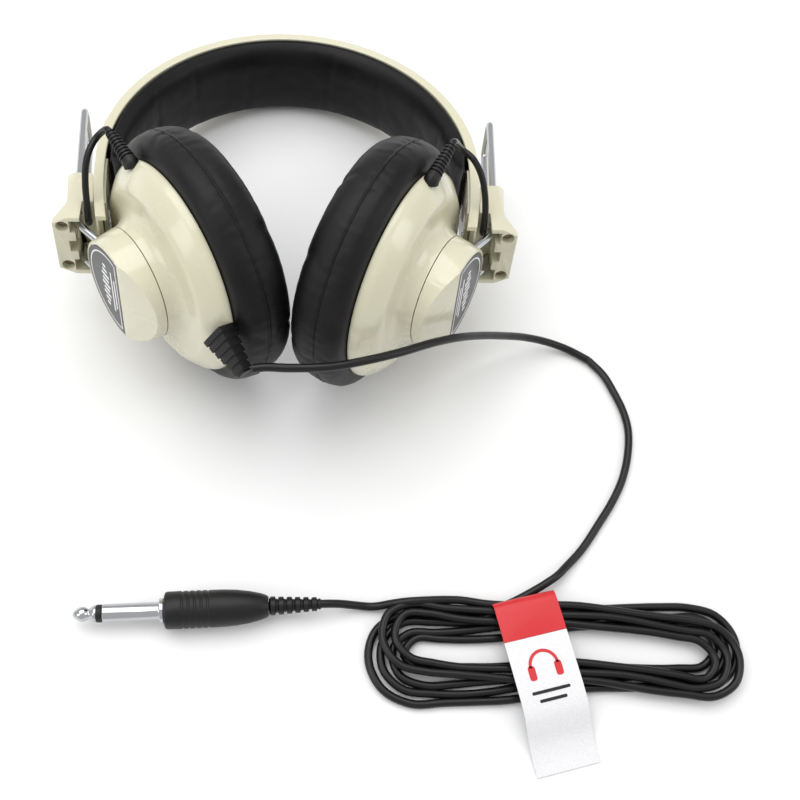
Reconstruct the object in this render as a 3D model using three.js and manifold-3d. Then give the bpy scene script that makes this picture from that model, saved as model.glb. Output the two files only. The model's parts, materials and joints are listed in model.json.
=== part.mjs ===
// Radio headphones for a classroom: a padded headband, two ear cups on sliding wire yokes, and a cord
// that falls from the left cup, crosses the table and lies bundled beside its 6.35 mm plug.
// Millimetres, +Z up. The headphones are drawn in a straight frame of their own (X across, Y from the
// cups to the crown, Z across the band's width) and then tipped so that they rest on both cushions and
// on the crown's lower edge. The cord, plug and tag are drawn where they lie on the table.
import * as THREE from "three";
import { mergeVertices } from "three/addons/utils/BufferGeometryUtils.js";
import Module from "manifold-3d";

const wasm = await Module();
wasm.setup();

// ---------- driving dimensions ----------
const TIP_ANGLE = THREE.MathUtils.degToRad(15.5);
const CUP_AXIS_HEIGHT = 47.0;
const CENTRE_Y = 39.65; // middle of the headphones, from the cushions to the crown
const GAP = 0.3;

const BAND_HALF_WIDTH = 70; // outer face, at its widest
const BAND_WIDEST_Y = 43;
const BAND_CROWN_Y = 118;
const BAND_END_Y = 7.6;
const BAND_TAPER_LENGTH = 115; // half length of the ellipse that draws the ends in
const BAND_HALF_DEPTH = 16; // half of the band's width along Z
const BAND_WEB = 2.2;
const BAND_FLANGE_DEPTH = 3.6;
const BAND_FLANGE_WIDTH = 1.8;
const PAD_START = 4.3; // the pad's back, measured in from the band's outer face
const PAD_THICKNESS = 6.0;
const PAD_END_ANGLE = THREE.MathUtils.degToRad(4);
const PAD_TIP_Y = 37.5;

const YOKE_SLOPE = Math.atan(4.2 / 62.8); // each yoke runs outwards a little towards the crown
const YOKE_LEG_Z = 8.3;
const YOKE_WIRE = 2.8;
const YOKE_BORE = 3.6;
const YOKE_KNEE = new THREE.Vector2(74.4, 12.2);
const YOKE_LENGTH = 62.8;
const PIVOT_X = 63.85;
const PIVOT_Y = 1.3;
const RIGHT_YOKE_SHIFT = 0.9; // the right yoke stands pushed in further than the left

const RIM_RADIUS = 39.4;
const HUB_SEAM_RADIUS = 20.5;
const HUB_SEAM_H = 14.8;
const HUB_TOP_RADIUS = 18.9;
const HUB_TOP_H = 24.3;
const FACET_RIDGE_U = 5.7;
const FACET_SLOPE = THREE.MathUtils.degToRad(22);
const LABEL_RADIUS = 17.6;
const PIVOT_U = -14.4;
const PIVOT_H = 19.5;
const CUSHION_RADIUS = 46.5;
const CUSHION_DEPTH = 18.8;
const CUSHION_HOLE = 25;
const TOE_IN = { left: THREE.MathUtils.degToRad(33.8), right: THREE.MathUtils.degToRad(29.6) };

const CORD_DIAMETER = 3.0;
const LINK_DIAMETER = 2.4;
const PLUG_DIAMETER = 6.35;

// ---------- materials ----------
const finish = (color, roughness, metalness = 0) => ({ color, roughness, metalness });
const BEIGE = finish(0xd9d2b0, 0.3);
const VINYL = finish(0x151515, 0.55);
const BLACK_RUBBER = finish(0x101010, 0.5);
const BLACK_PLASTIC = finish(0x1a1a1a, 0.45);
const CHROME = finish(0xc8c8c8, 0.15, 1);
const STEEL = finish(0x9a9a96, 0.35, 1);
const LABEL = finish(0x55565a, 0.4);
const FOAM = finish(0x202020, 0.95);
const RED = finish(0xc8102e, 0.5);
const PAPER = finish(0xf2f2f2, 0.6);
const FILM = finish(0xb8a468, 0.3);

// ---------- solids ----------
// A closed three.js geometry as a manifold-3d solid.
function solid(geometry) {
  const g = geometry.clone();
  for (const name of Object.keys(g.attributes)) {
    if (name !== "position") g.deleteAttribute(name);
  }
  const merged = mergeVertices(g, 1e-4);
  const vertProperties = new Float32Array(merged.attributes.position.array);
  const triVerts = new Uint32Array(merged.index.array);
  return new wasm.Manifold(new wasm.Mesh({ numProp: 3, vertProperties, triVerts }));
}

// A manifold-3d solid as three.js geometry.
function geometryOf(body) {
  const m = body.getMesh();
  const position = new Float32Array(m.numVert * 3);
  for (let i = 0; i < m.numVert; i++) {
    position.set(m.vertProperties.subarray(i * m.numProp, i * m.numProp + 3), i * 3);
  }
  const g = new THREE.BufferGeometry();
  g.setAttribute("position", new THREE.BufferAttribute(position, 3));
  g.setIndex(new THREE.BufferAttribute(new Uint32Array(m.triVerts), 1));
  g.computeVertexNormals();
  return g;
}

function box(x, y, z) {
  const g = new THREE.BoxGeometry(x[1] - x[0], y[1] - y[0], z[1] - z[0]);
  return solid(g.translate((x[0] + x[1]) / 2, (y[0] + y[1]) / 2, (z[0] + z[1]) / 2));
}

// An outline in X and Y, drawn up from z[0] to z[1].
function prism(points, z) {
  const shape = new THREE.Shape(points.map(([x, y]) => new THREE.Vector2(x, y)));
  const g = new THREE.ExtrudeGeometry(shape, { depth: z[1] - z[0], bevelEnabled: false });
  return solid(g.translate(0, 0, z[0]));
}

// A round bar from one point to another, narrowing when its end radius is smaller.
function bar(from, to, radius, endRadius = radius, sides = 20) {
  const a = new THREE.Vector3(...from);
  const b = new THREE.Vector3(...to);
  const along = b.clone().sub(a);
  const g = new THREE.CylinderGeometry(endRadius, radius, along.length(), sides);
  const turn = new THREE.Quaternion().setFromUnitVectors(new THREE.Vector3(0, 1, 0), along.normalize());
  g.applyQuaternion(turn);
  const middle = a.add(b).multiplyScalar(0.5);
  return solid(g.translate(middle.x, middle.y, middle.z));
}

// A turned body about Z from a list of [radius, height] that runs outside upwards.
function turned(profile, sides = 40) {
  const points = profile.map(([r, h]) => new THREE.Vector2(r, h));
  if (profile[0][0] > 0) points.push(points[0].clone());
  const g = new THREE.LatheGeometry(points, sides);
  return solid(g.rotateX(Math.PI / 2));
}

// A cord: a round bar on a smooth curve through a list of points.
function cordAlong(points, diameter, steps, sides = 8) {
  const list = points.map((p) => new THREE.Vector3(...p));
  const path = new THREE.CatmullRomCurve3(list, false, "centripetal");
  const shape = new THREE.Shape();
  shape.absarc(0, 0, diameter / 2, 0, 2 * Math.PI);
  const g = new THREE.ExtrudeGeometry(shape, {
    steps,
    extrudePath: path,
    curveSegments: sides / 2,
    bevelEnabled: false,
  });
  return solid(g);
}

// A stiff wire: straight between its points, with each joint mitred.
function wireAlong(points, diameter, sides = 8) {
  const list = points.map((p) => new THREE.Vector3(...p));
  const last = list.length - 1;
  const heading = (i) => list[i + 1].clone().sub(list[i]).normalize();
  let side = new THREE.Vector3(0, 1, 0).cross(heading(0)).normalize();
  const vertices = [];
  for (let i = 0; i <= last; i++) {
    const before = heading(Math.max(i - 1, 0));
    const after = heading(Math.min(i, last - 1));
    side.addScaledVector(before, -side.dot(before)).normalize();
    const up = before.clone().cross(side);
    const mitre = before.clone().add(after).normalize();
    for (let k = 0; k < sides; k++) {
      const a = (2 * Math.PI * k) / sides;
      const out = side.clone().multiplyScalar(Math.cos(a)).addScaledVector(up, Math.sin(a));
      out.multiplyScalar(diameter / 2);
      // Slide the point along the wire into the mitre plane.
      out.addScaledVector(before, -out.dot(mitre) / before.dot(mitre));
      out.add(list[i]);
      vertices.push(out.x, out.y, out.z);
    }
  }
  const faces = [];
  for (let i = 0; i < last; i++) {
    for (let k = 0; k < sides; k++) {
      const [a, b] = [i * sides + k, i * sides + ((k + 1) % sides)];
      faces.push(a, b, b + sides, a, b + sides, a + sides);
    }
  }
  for (let k = 1; k < sides - 1; k++) {
    faces.push(0, k + 1, k);
    faces.push(last * sides, last * sides + k, last * sides + k + 1);
  }
  const g = new THREE.BufferGeometry();
  g.setAttribute("position", new THREE.Float32BufferAttribute(vertices, 3));
  g.setIndex(faces);
  return solid(g);
}

// The corners of an open line of points, rounded to a radius.
function roundedLine(points, radius, segments = 5) {
  const list = points.map((p) => new THREE.Vector3(...p));
  const out = [list[0]];
  for (let i = 1; i < list.length - 1; i++) {
    const back = list[i - 1].clone().sub(list[i]);
    const on = list[i + 1].clone().sub(list[i]);
    const reach = Math.min(radius, back.length() * 0.45, on.length() * 0.45);
    const start = list[i].clone().addScaledVector(back.normalize(), reach);
    const end = list[i].clone().addScaledVector(on.normalize(), reach);
    const bend = new THREE.QuadraticBezierCurve3(start, list[i], end);
    out.push(...bend.getPoints(segments));
  }
  out.push(list[list.length - 1]);
  return out.map((p) => [p.x, p.y, p.z]);
}

const part = new THREE.Group();
const whole = new THREE.Group();
whole.position.y = -CENTRE_Y;
part.add(whole);
const headphones = new THREE.Group();
headphones.rotation.x = -TIP_ANGLE;
headphones.position.z = CUP_AXIS_HEIGHT;
whole.add(headphones);

function add(parent, name, body, material) {
  const mesh = new THREE.Mesh(geometryOf(body), new THREE.MeshStandardMaterial(material));
  mesh.name = name;
  parent.add(mesh);
}

// ---------- headband ----------
// Where the band's outer face is, below its widest place.
function bandEdge(y) {
  const inwards = (BAND_WIDEST_Y - y) / BAND_TAPER_LENGTH;
  return BAND_HALF_WIDTH * Math.sqrt(1 - inwards * inwards);
}

// The band's outline at a distance inside its outer face, from the right end over the crown to the left.
function bandLine(inset, fromAngle = null) {
  const points = [];
  if (fromAngle === null) {
    for (let i = 0; i < 6; i++) {
      const y = BAND_END_Y + ((BAND_WIDEST_Y - BAND_END_Y) * i) / 6;
      points.push([bandEdge(y) - inset, y]);
    }
  }
  const start = fromAngle ?? 0;
  const arcs = 40;
  for (let i = 0; i <= arcs; i++) {
    const a = start + ((Math.PI - 2 * start) * i) / arcs;
    const x = (BAND_HALF_WIDTH - inset) * Math.cos(a);
    const y = BAND_WIDEST_Y + (BAND_CROWN_Y - BAND_WIDEST_Y - inset) * Math.sin(a);
    points.push([x, y]);
  }
  if (fromAngle === null) {
    for (let i = 5; i >= 0; i--) points.push([-points[i][0], points[i][1]]);
  }
  return points;
}

function bandStrip(outerInset, innerInset, z, fromAngle = null) {
  const outer = bandLine(outerInset, fromAngle);
  const inner = bandLine(innerInset, fromAngle).reverse();
  return prism([...outer, ...inner], z);
}

// The crossover cord and the spring strip lie in the band's channel between the two clamp plates.
const CHANNEL_START = THREE.MathUtils.degToRad(3);

function makeHeadband() {
  const edge = BAND_HALF_DEPTH;
  const web = bandStrip(0, BAND_WEB, [-edge, edge]);
  const top = bandStrip(0, BAND_FLANGE_DEPTH, [edge - BAND_FLANGE_WIDTH, edge]);
  const bottom = bandStrip(0, BAND_FLANGE_DEPTH, [-edge, -edge + BAND_FLANGE_WIDTH]);
  let shell = web.add(top).add(bottom);
  for (const side of [-1, 1]) {
    for (const z of CLAMP_SCREW_Z) shell = shell.subtract(clampHole(side, z));
  }
  // Each end is thinned on the inside, where the hub cap passes close by.
  for (const side of [-1, 1]) {
    const cut = [
      [side * 60, 5],
      [side * 65.9, 5],
      [side * 65.9, 8.2],
      [side * 64.2, 12],
      [side * 60, 12],
    ];
    if (side < 0) cut.reverse();
    shell = shell.subtract(prism(cut, [-13, 13]));
  }
  add(headphones, "headband_shell", shell, BEIGE);

  const strip = bandStrip(BAND_WEB + GAP, BAND_WEB + GAP + 0.9, [-9, 9], CHANNEL_START);
  add(headphones, "headband_spring", strip, STEEL);
  const crossover = bandStrip(BAND_WEB + GAP, BAND_WEB + GAP + 1.2, [10, 12.4], CHANNEL_START);
  add(headphones, "crossover_cord", crossover, BLACK_RUBBER);

  const back = PAD_START;
  const front = PAD_START + PAD_THICKNESS;
  const body = bandStrip(back, front, [-edge + 0.2, edge - 0.2], PAD_END_ANGLE);
  // Each end of the pad thins to a wedge that lies over the clamp plate.
  let pad = body;
  for (const side of [-1, 1]) {
    const x = (inset) => side * (BAND_HALF_WIDTH - inset);
    const y = BAND_WIDEST_Y + 5.3;
    const outline = [
      [x(back + 0.55), y],
      [x(front + 0.1), y],
      [x(front + 0.1), y - 2],
      [x(back + 2.1), PAD_TIP_Y],
      [x(back + 0.55), PAD_TIP_Y],
    ];
    if (side > 0) outline.reverse();
    pad = pad.add(prism(outline, [-edge + 1.2, edge - 1.2]));
  }
  add(headphones, "headband_pad", pad, VINYL);
}

// ---------- clamps and end blocks ----------
const CLAMP_SCREW_Z = [-6.2, 6.2];
const CLAMP_SCREW_Y = 25;
const CLAMP_Y = [17, 40.5];
const CLAMP_THICKNESS = 1.6;
const BLOCK_FAR_Y = 32.5;
const BLOCK_NEAR_Y = 8.9;
const BLOCK_HALF_HEIGHT = 13.6;
const BLOCK_SCREW = { x: 78.9, z: 9.4, hole: 2.3 };

function clampHole(side, z) {
  return bar([side * 55, CLAMP_SCREW_Y, z], [side * 74, CLAMP_SCREW_Y, z], 1.4, 1.4, 16);
}

// Where a yoke's leg runs, at a height along Y, with the right yoke's rest position not counted.
function legX(y) {
  return YOKE_KNEE.x + (y - YOKE_KNEE.y) * Math.tan(YOKE_SLOPE);
}

function makeBlock(side, name) {
  const mirror = (list) => (side > 0 ? list : list.map(([x, y]) => [-x, y]).reverse());
  const outline = mirror([
    [70.3, BLOCK_FAR_Y],
    [67.7, BLOCK_NEAR_Y],
    [82.2, BLOCK_NEAR_Y],
    [82.2, 11.2],
    [78.0, 17.2],
    [77.9, 20],
    [79.0, BLOCK_FAR_Y - 0.8],
    [78.2, BLOCK_FAR_Y],
  ]);
  let block = prism(outline, [-BLOCK_HALF_HEIGHT, BLOCK_HALF_HEIGHT]);
  // The long edges on the outside are cut off at a slant.
  for (const up of [-1, 1]) {
    const corner = new THREE.Shape([
      new THREE.Vector2(side * 76.6, up * (BLOCK_HALF_HEIGHT + 0.01)),
      new THREE.Vector2(side * 90, up * (BLOCK_HALF_HEIGHT - 6.7)),
      new THREE.Vector2(side * 90, up * (BLOCK_HALF_HEIGHT + 5)),
      new THREE.Vector2(side * 76.6, up * (BLOCK_HALF_HEIGHT + 5)),
    ]);
    const g = new THREE.ExtrudeGeometry(corner, { depth: 40, bevelEnabled: false });
    block = block.subtract(solid(g.rotateX(Math.PI / 2).translate(0, 40, 0)));
  }
  const span = (a, b) => (side > 0 ? [a, b] : [-b, -a]);
  // The pocket opens towards the ear cup: wide at its top and bottom, narrow between them.
  block = block.subtract(box(span(60, 74.7), [0, 17.6], [-7, 7]));
  for (const up of [-1, 1]) {
    const z = up > 0 ? [6.5, 11.9] : [-11.9, -6.5];
    block = block.subtract(box(span(60, 76.5), [0, 17.6], z));
  }
  block = block.subtract(box(span(74, 77.3), [0, 15.5], [-2.6, 2.6]));
  // The link cord comes in through a notch in the upper wall.
  block = block.subtract(box(span(60, 72.6), [8, 17.6], [11, 14]));
  // A pocket from the band's side holds the grip that presses on both legs.
  block = block.subtract(box(span(60, 77), [20.6, 29.4], [-11.2, -6.2]));
  block = block.subtract(box(span(60, 77), [20.6, 29.4], [6.2, 11.2]));
  block = block.subtract(box(span(60, 73.4), [20.6, 29.4], [-7, 7]));
  for (const z of [-YOKE_LEG_Z, YOKE_LEG_Z]) {
    const near = [side * legX(5), 5, z];
    const far = [side * legX(45), 45, z];
    block = block.subtract(bar(near, far, YOKE_BORE / 2, YOKE_BORE / 2, 16));
  }
  for (const z of [-BLOCK_SCREW.z, BLOCK_SCREW.z]) {
    const at = (y) => [side * BLOCK_SCREW.x, y, z];
    block = block.subtract(bar(at(5), at(13.4), BLOCK_SCREW.hole, BLOCK_SCREW.hole, 20));
  }
  for (const z of CLAMP_SCREW_Z) block = block.subtract(clampHole(side, z));
  add(headphones, `end_block_${name}`, block, BEIGE);

  for (const [where, z] of [["upper", BLOCK_SCREW.z], ["lower", -BLOCK_SCREW.z]]) {
    const at = (y) => [side * BLOCK_SCREW.x, y, z];
    let screw = bar(at(11.2), at(13.1), 1.9, 1.9, 18);
    screw = screw.subtract(box(span(BLOCK_SCREW.x - 3, BLOCK_SCREW.x + 3), [11, 11.7], [z - 0.25, z + 0.25]));
    add(headphones, `block_screw_${where}_${name}`, screw, STEEL);
  }

  // The grip fills its pocket between the band and the wires, and its ends bear on both legs.
  let grip = box(span(70.9, 73.1), [21, 29], [-10.8, 10.8]);
  for (const z of CLAMP_SCREW_Z) {
    grip = grip.subtract(bar([side * 60, CLAMP_SCREW_Y, z], [side * 80, CLAMP_SCREW_Y, z], 1.7, 1.7, 16));
  }
  add(headphones, `yoke_grip_${name}`, grip, BLACK_PLASTIC);

  // The clamp plate lies inside the band's channel, and two screws hold it to the end block.
  const face = (inset) => {
    const points = [];
    for (let i = 0; i <= 6; i++) {
      const y = CLAMP_Y[0] + ((CLAMP_Y[1] - CLAMP_Y[0]) * i) / 6;
      points.push([bandEdge(y) - inset, y]);
    }
    return points;
  };
  const outer = face(BAND_WEB + GAP);
  const inner = face(BAND_WEB + GAP + CLAMP_THICKNESS);
  const plate = mirror([...outer, ...inner.reverse()].reverse());
  let clamp = prism(plate, [-13.6, 13.6]);
  for (const z of CLAMP_SCREW_Z) {
    clamp = clamp.subtract(clampHole(side, z));
    clamp = clamp.subtract(bar([side * 60, CLAMP_SCREW_Y, z], [side * 65.95, CLAMP_SCREW_Y, z], 2.6, 2.6, 18));
  }
  add(headphones, `clamp_plate_${name}`, clamp, BEIGE);
  for (const [where, z] of [["upper", CLAMP_SCREW_Z[1]], ["lower", CLAMP_SCREW_Z[0]]]) {
    const at = (x) => [side * x, CLAMP_SCREW_Y, z];
    const screw = bar(at(65.05), at(65.75), 2.3, 2.3, 18).add(bar(at(65.7), at(72.6), 1.1, 1.1, 14));
    add(headphones, `clamp_screw_${where}_${name}`, screw, STEEL);
  }
}

// ---------- sliding yokes ----------
function makeYoke(side, name) {
  const shift = side > 0 ? RIGHT_YOKE_SHIFT : 0;
  const slide = (x, y, z) => [side * (x + shift * Math.tan(YOKE_SLOPE)), y + shift, z];
  const tipY = YOKE_KNEE.y + YOKE_LENGTH;
  const leg = (z) => [
    [side * PIVOT_X, PIVOT_Y + shift, z],
    slide(YOKE_KNEE.x, YOKE_KNEE.y, z),
    slide(legX(tipY), tipY, z),
  ];
  const up = leg(YOKE_LEG_Z);
  const down = leg(-YOKE_LEG_Z).reverse();
  const pin = (z) => [side * PIVOT_X, PIVOT_Y + shift, z];
  const line = roundedLine([pin(1.8), ...up, ...down, pin(-1.8)], 3.2, 4);
  add(headphones, `wire_yoke_${name}`, wireAlong(line, YOKE_WIRE, 10), CHROME);
}

// ---------- ear cups ----------
// Each cup is drawn about its own axis: +Z (h) points out of the shell, X (u) towards the listener's
// shoulder, and the group then stands it up beside its yoke.
function cupGroup(side) {
  const toe = side > 0 ? TOE_IN.right : TOE_IN.left;
  const outwards = new THREE.Vector3(side * Math.cos(toe), -Math.sin(toe), 0);
  const near = new THREE.Vector3(-side * Math.sin(toe), -Math.cos(toe), 0);
  const third = new THREE.Vector3().crossVectors(outwards, near);
  const shift = side > 0 ? RIGHT_YOKE_SHIFT : 0;
  const pivot = new THREE.Vector3(side * PIVOT_X, PIVOT_Y + shift, 0);
  const centre = pivot.addScaledVector(outwards, -PIVOT_H).addScaledVector(near, -PIVOT_U);
  const group = new THREE.Group();
  group.applyMatrix4(new THREE.Matrix4().makeBasis(near, third, outwards).setPosition(centre));
  headphones.add(group);
  return group;
}

const SHELL_OUTSIDE = [
  [RIM_RADIUS, 0],
  [38.8, 2.8],
  [36.4, 5.7],
  [32, 8.1],
  [27, 9.3],
  [23.6, 9.9],
  [21.5, 11.2],
  [HUB_SEAM_RADIUS, HUB_SEAM_H],
];
const SHELL_INSIDE = [
  [18.5, HUB_SEAM_H],
  [19.4, 10.2],
  [22.2, 8],
  [30.4, 6.4],
  [35.2, 3.8],
  [37.2, 0],
];
// The link cord leaves each shell's side at this angle about the cup's axis.
const LINK_ANGLE = { left: THREE.MathUtils.degToRad(121), right: THREE.MathUtils.degToRad(-106) };
const LINK_HEIGHT = 3.2;

// The shell's outside, swollen a little, to trim whatever sits against it.
function shellClearance() {
  const swollen = SHELL_OUTSIDE.map(([r, h]) => [r + 0.35, h + 0.2]);
  const rim = RIM_RADIUS + 0.35;
  return turned([[0, -3], [rim, -3], ...swollen, [0, HUB_SEAM_H + 0.2]], 44);
}

function turnAbout(point, angle) {
  const [r, h] = point;
  return [r * Math.cos(angle), r * Math.sin(angle), h];
}

function makeCup(side, name) {
  const cup = cupGroup(side);
  const shellBody = turned([...SHELL_OUTSIDE, ...SHELL_INSIDE], 44);
  const angle = LINK_ANGLE[name];
  const linkAt = (r) => turnAbout([r, LINK_HEIGHT], angle);
  let shell = shellBody.subtract(bar(linkAt(35.2), linkAt(43), 2.0, 2.0, 16));
  if (side < 0) shell = shell.subtract(bar(RELIEF_FOOT, RELIEF_END, 2.6, 2.6, 16));
  add(cup, `cup_shell_${name}`, shell, BEIGE);

  // Hub cap: a shallow drum with a slanted facet, a recess for the label and a window for the wires.
  const drum = turned(
    [
      [0, HUB_SEAM_H + GAP],
      [HUB_SEAM_RADIUS - 0.05, HUB_SEAM_H + GAP],
      [HUB_TOP_RADIUS + 0.1, HUB_TOP_H - 0.5],
      [HUB_TOP_RADIUS - 0.4, HUB_TOP_H],
      [0, HUB_TOP_H],
    ],
    44,
  );
  const hollow = turned(
    [
      [0, HUB_SEAM_H],
      [18.5, HUB_SEAM_H],
      [17.2, HUB_TOP_H - 2.2],
      [0, HUB_TOP_H - 2.2],
    ],
    36,
  );
  const above = (lift) => {
    const g = new THREE.BoxGeometry(60, 60, 20).translate(30, 0, 10);
    g.rotateY(FACET_SLOPE).translate(FACET_RIDGE_U, 0, HUB_TOP_H + lift);
    return solid(g);
  };
  let cap = drum.subtract(above(0)).subtract(hollow.subtract(above(-2)));
  const floor = HUB_TOP_H - 0.8;
  const recess = turned([[0, floor], [LABEL_RADIUS + 0.3, floor], [LABEL_RADIUS + 0.3, 30], [0, 30]]);
  const outside = box([FACET_RIDGE_U - 0.7, 40], [-30, 30], [HUB_TOP_H - 2, 40]);
  cap = cap.subtract(recess.subtract(outside));
  for (const z of [-YOKE_LEG_Z, YOKE_LEG_Z]) {
    cap = cap.subtract(box([-25, -11], [z - 2.1, z + 2.1], [16.6, 23.4]));
  }
  add(cup, `hub_cap_${name}`, cap, BEIGE);

  const [back, front] = [HUB_TOP_H - 0.5, HUB_TOP_H + 0.1];
  const disc = turned([[0, back], [LABEL_RADIUS, back], [LABEL_RADIUS, front], [0, front]]);
  const label = disc.subtract(box([FACET_RIDGE_U - 1, 40], [-30, 30], [0, 40]));
  add(cup, `hub_label_${name}`, label, LABEL);

  // The swivel block takes the hooked ends of the wire.
  let swivel = box([-16.5, -11.6], [-4.9, 4.9], [16.6, 21.7]);
  swivel = swivel.add(box([-12.4, 0], [-4, 4], [16.6, 19]));
  swivel = swivel.add(box([-2.5, 2.5], [-4, 4], [12, 19]));
  swivel = swivel.add(box([-17.4, 17.4], [-4, 4], [10.6, 12.6]));
  swivel = swivel.subtract(bar([PIVOT_U, -9, PIVOT_H], [PIVOT_U, 9, PIVOT_H], 1.65, 1.65, 16));
  add(cup, `swivel_block_${name}`, swivel, BLACK_PLASTIC);

  // Driver: baffle, basket, magnet, diaphragm and a foam disc.
  let baffle = turned([[0, 0.2], [36.2, 0.2], [36.2, 1.7], [0, 1.7]], 36);
  baffle = baffle.subtract(bar([0, 0, -1], [0, 0, 3], 3, 3, 18));
  for (let i = 0; i < 6; i++) {
    const a = (i * Math.PI) / 3;
    const [x, y] = [9.5 * Math.cos(a), 9.5 * Math.sin(a)];
    baffle = baffle.subtract(bar([x, y, -1], [x, y, 3], 2.6, 2.6, 14));
  }
  add(cup, `baffle_${name}`, baffle, BLACK_PLASTIC);
  const basketProfile = [[13.6, 2.0], [17.8, 2.0], [17.8, 3.4], [11, 6.3], [9.2, 6.3], [9.2, 5.2], [13.6, 3.4]];
  const basket = turned(basketProfile, 24);
  add(cup, `driver_basket_${name}`, basket, STEEL);
  add(cup, `driver_magnet_${name}`, turned([[0, 6.7], [8.6, 6.7], [8.6, 9.6], [0, 9.6]], 32), STEEL);
  const coneProfile = [[0, 4.2], [3, 3.6], [8, 2.6], [13.2, 2.1], [13.2, 2.4], [8, 2.9], [3, 4.1], [0, 4.8]];
  add(cup, `driver_cone_${name}`, turned(coneProfile, 24), FILM);
  const foam = turned([[0, -3], [CUSHION_HOLE + 4, -3], [CUSHION_HOLE + 4, -0.3], [0, -0.3]], 28);
  add(cup, `driver_foam_${name}`, foam, FOAM);

  const cushion = turned(cushionProfile(), 40);
  const trimmed = cushion.subtract(tableSlab(cup));
  add(cup, `ear_cushion_${name}`, trimmed, VINYL);

  // Link cord's strain relief.
  const root = bar(linkAt(36.7), linkAt(42), 1.7, 1.7, 16);
  const sleeve = bar(linkAt(39), linkReliefEnd(side), 3.0, 1.9, 16).subtract(shellClearance());
  add(cup, `link_relief_${name}`, root.add(sleeve), BLACK_RUBBER);
  if (side < 0) makeCordRelief(cup);
}

// The cushion's section: it swells past the rim, with a welted edge on its face.
function cushionProfile() {
  return [
    [CUSHION_HOLE + 0.5, -5.0],
    [CUSHION_HOLE, -12],
    [CUSHION_HOLE + 2, -CUSHION_DEPTH + 3],
    [CUSHION_HOLE + 6, -CUSHION_DEPTH],
    [CUSHION_RADIUS - 6.5, -CUSHION_DEPTH],
    [CUSHION_RADIUS - 2.2, -CUSHION_DEPTH + 1.6],
    [CUSHION_RADIUS - 0.2, -CUSHION_DEPTH + 5],
    [CUSHION_RADIUS, -11],
    [CUSHION_RADIUS - 0.3, -5.5],
    [CUSHION_RADIUS - 1.9, -2.2],
    [CUSHION_RADIUS - 5.5, -0.5],
    [CUSHION_HOLE + 6.5, -0.5],
    [CUSHION_HOLE + 5, -3.4],
  ];
}

// Everything under the table's surface, in a cup's own frame.
function tableSlab(group) {
  const g = new THREE.BoxGeometry(400, 400, 40).translate(0, 0, -20);
  part.updateMatrixWorld(true);
  return solid(g.applyMatrix4(group.matrixWorld.clone().invert()));
}

// ---------- strain reliefs and cords ----------
const RELIEF_FOOT = [33.5, 5.5, 5.2];
const RELIEF_END = [53.2, -2.4, 4.6];

function makeCordRelief(cup) {
  const foot = new THREE.Vector3(...RELIEF_FOOT);
  const end = new THREE.Vector3(...RELIEF_END);
  const along = end.clone().sub(foot);
  const length = along.length();
  const across = new THREE.Vector3(0, 0, 1).cross(along).normalize();
  const lift = along.clone().normalize().cross(across);
  const place = new THREE.Matrix4().makeBasis(across, lift, along.clone().normalize()).setPosition(foot);
  const slab = (w0, w1, t0, t1, z0, z1) => {
    const points = [
      [-w0, -t0, z0], [w0, -t0, z0], [w0, t0, z0], [-w0, t0, z0],
      [-w1, -t1, z1], [w1, -t1, z1], [w1, t1, z1], [-w1, t1, z1],
    ].flat();
    const faces = [
      0, 2, 1, 0, 3, 2, 4, 5, 6, 4, 6, 7, 0, 1, 5, 0, 5, 4,
      1, 2, 6, 1, 6, 5, 2, 3, 7, 2, 7, 6, 3, 0, 4, 3, 4, 7,
    ];
    const g = new THREE.BufferGeometry();
    g.setAttribute("position", new THREE.Float32BufferAttribute(points, 3));
    g.setIndex(faces);
    return solid(g.applyMatrix4(place));
  };
  let body = slab(4.6, 2.4, 3.2, 2.2, 2.6, length);
  const ribs = 5;
  for (let i = 0; i < ribs; i++) {
    const z = 3.4 + i * 3.5;
    const w = 5.9 - i * 0.62;
    const t = 4.3 - i * 0.3;
    body = body.add(slab(w, w - 0.3, t, t - 0.2, z, z + 2.3));
  }
  body = body.subtract(shellClearance());
  add(cup, "main_cord_relief", body, BLACK_RUBBER);
}

function linkReliefEnd(side) {
  return side > 0 ? [-24.8, -42.6, 3.4] : [-33.2, 37.6, 3.6];
}

// Link cords, in the headphones' frame: over the band's edge, down its outside and into the end block.
const LINK_ROUTE = {
  left: [
    [-66.2, 29.2, 33.2],
    [-68.6, 25.0, 31.0],
    [-69.9, 20.8, 27.5],
    [-70.3, 17.2, 22],
    [-70.2, 14.4, 16],
    [-70.2, 13.0, 11],
    [-70.4, 13.4, 7.4],
    [-70.8, 16.8, 5.1],
  ],
  right: [
    [61.0, 29.4, 32.6],
    [64.6, 26.6, 31.2],
    [67.8, 22.6, 27.4],
    [69.6, 18.6, 21.5],
    [70.2, 15.4, 16],
    [70.2, 13.6, 11],
    [70.4, 13.8, 7.4],
    [70.8, 16.8, 5.1],
  ],
};

function makeLinkCord(side, name) {
  part.updateMatrixWorld(true);
  const cup = whole.getObjectByName(`link_relief_${name}`).parent;
  const inverse = headphones.matrixWorld.clone().invert();
  const end = new THREE.Vector3(...linkReliefEnd(side)).applyMatrix4(cup.matrixWorld).applyMatrix4(inverse);
  const edge = new THREE.Vector3(...turnAbout([39, LINK_HEIGHT], LINK_ANGLE[name]));
  edge.applyMatrix4(cup.matrixWorld).applyMatrix4(inverse);
  const out = end.clone().sub(edge).normalize();
  const start = end.clone().addScaledVector(out, GAP);
  const next = end.clone().addScaledVector(out, 1.6);
  const line = [[start.x, start.y, start.z], [next.x, next.y, next.z], ...LINK_ROUTE[name]];
  add(headphones, `link_cord_${name}`, cordAlong(line, LINK_DIAMETER, 20, 8), BLACK_RUBBER);
}

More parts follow.
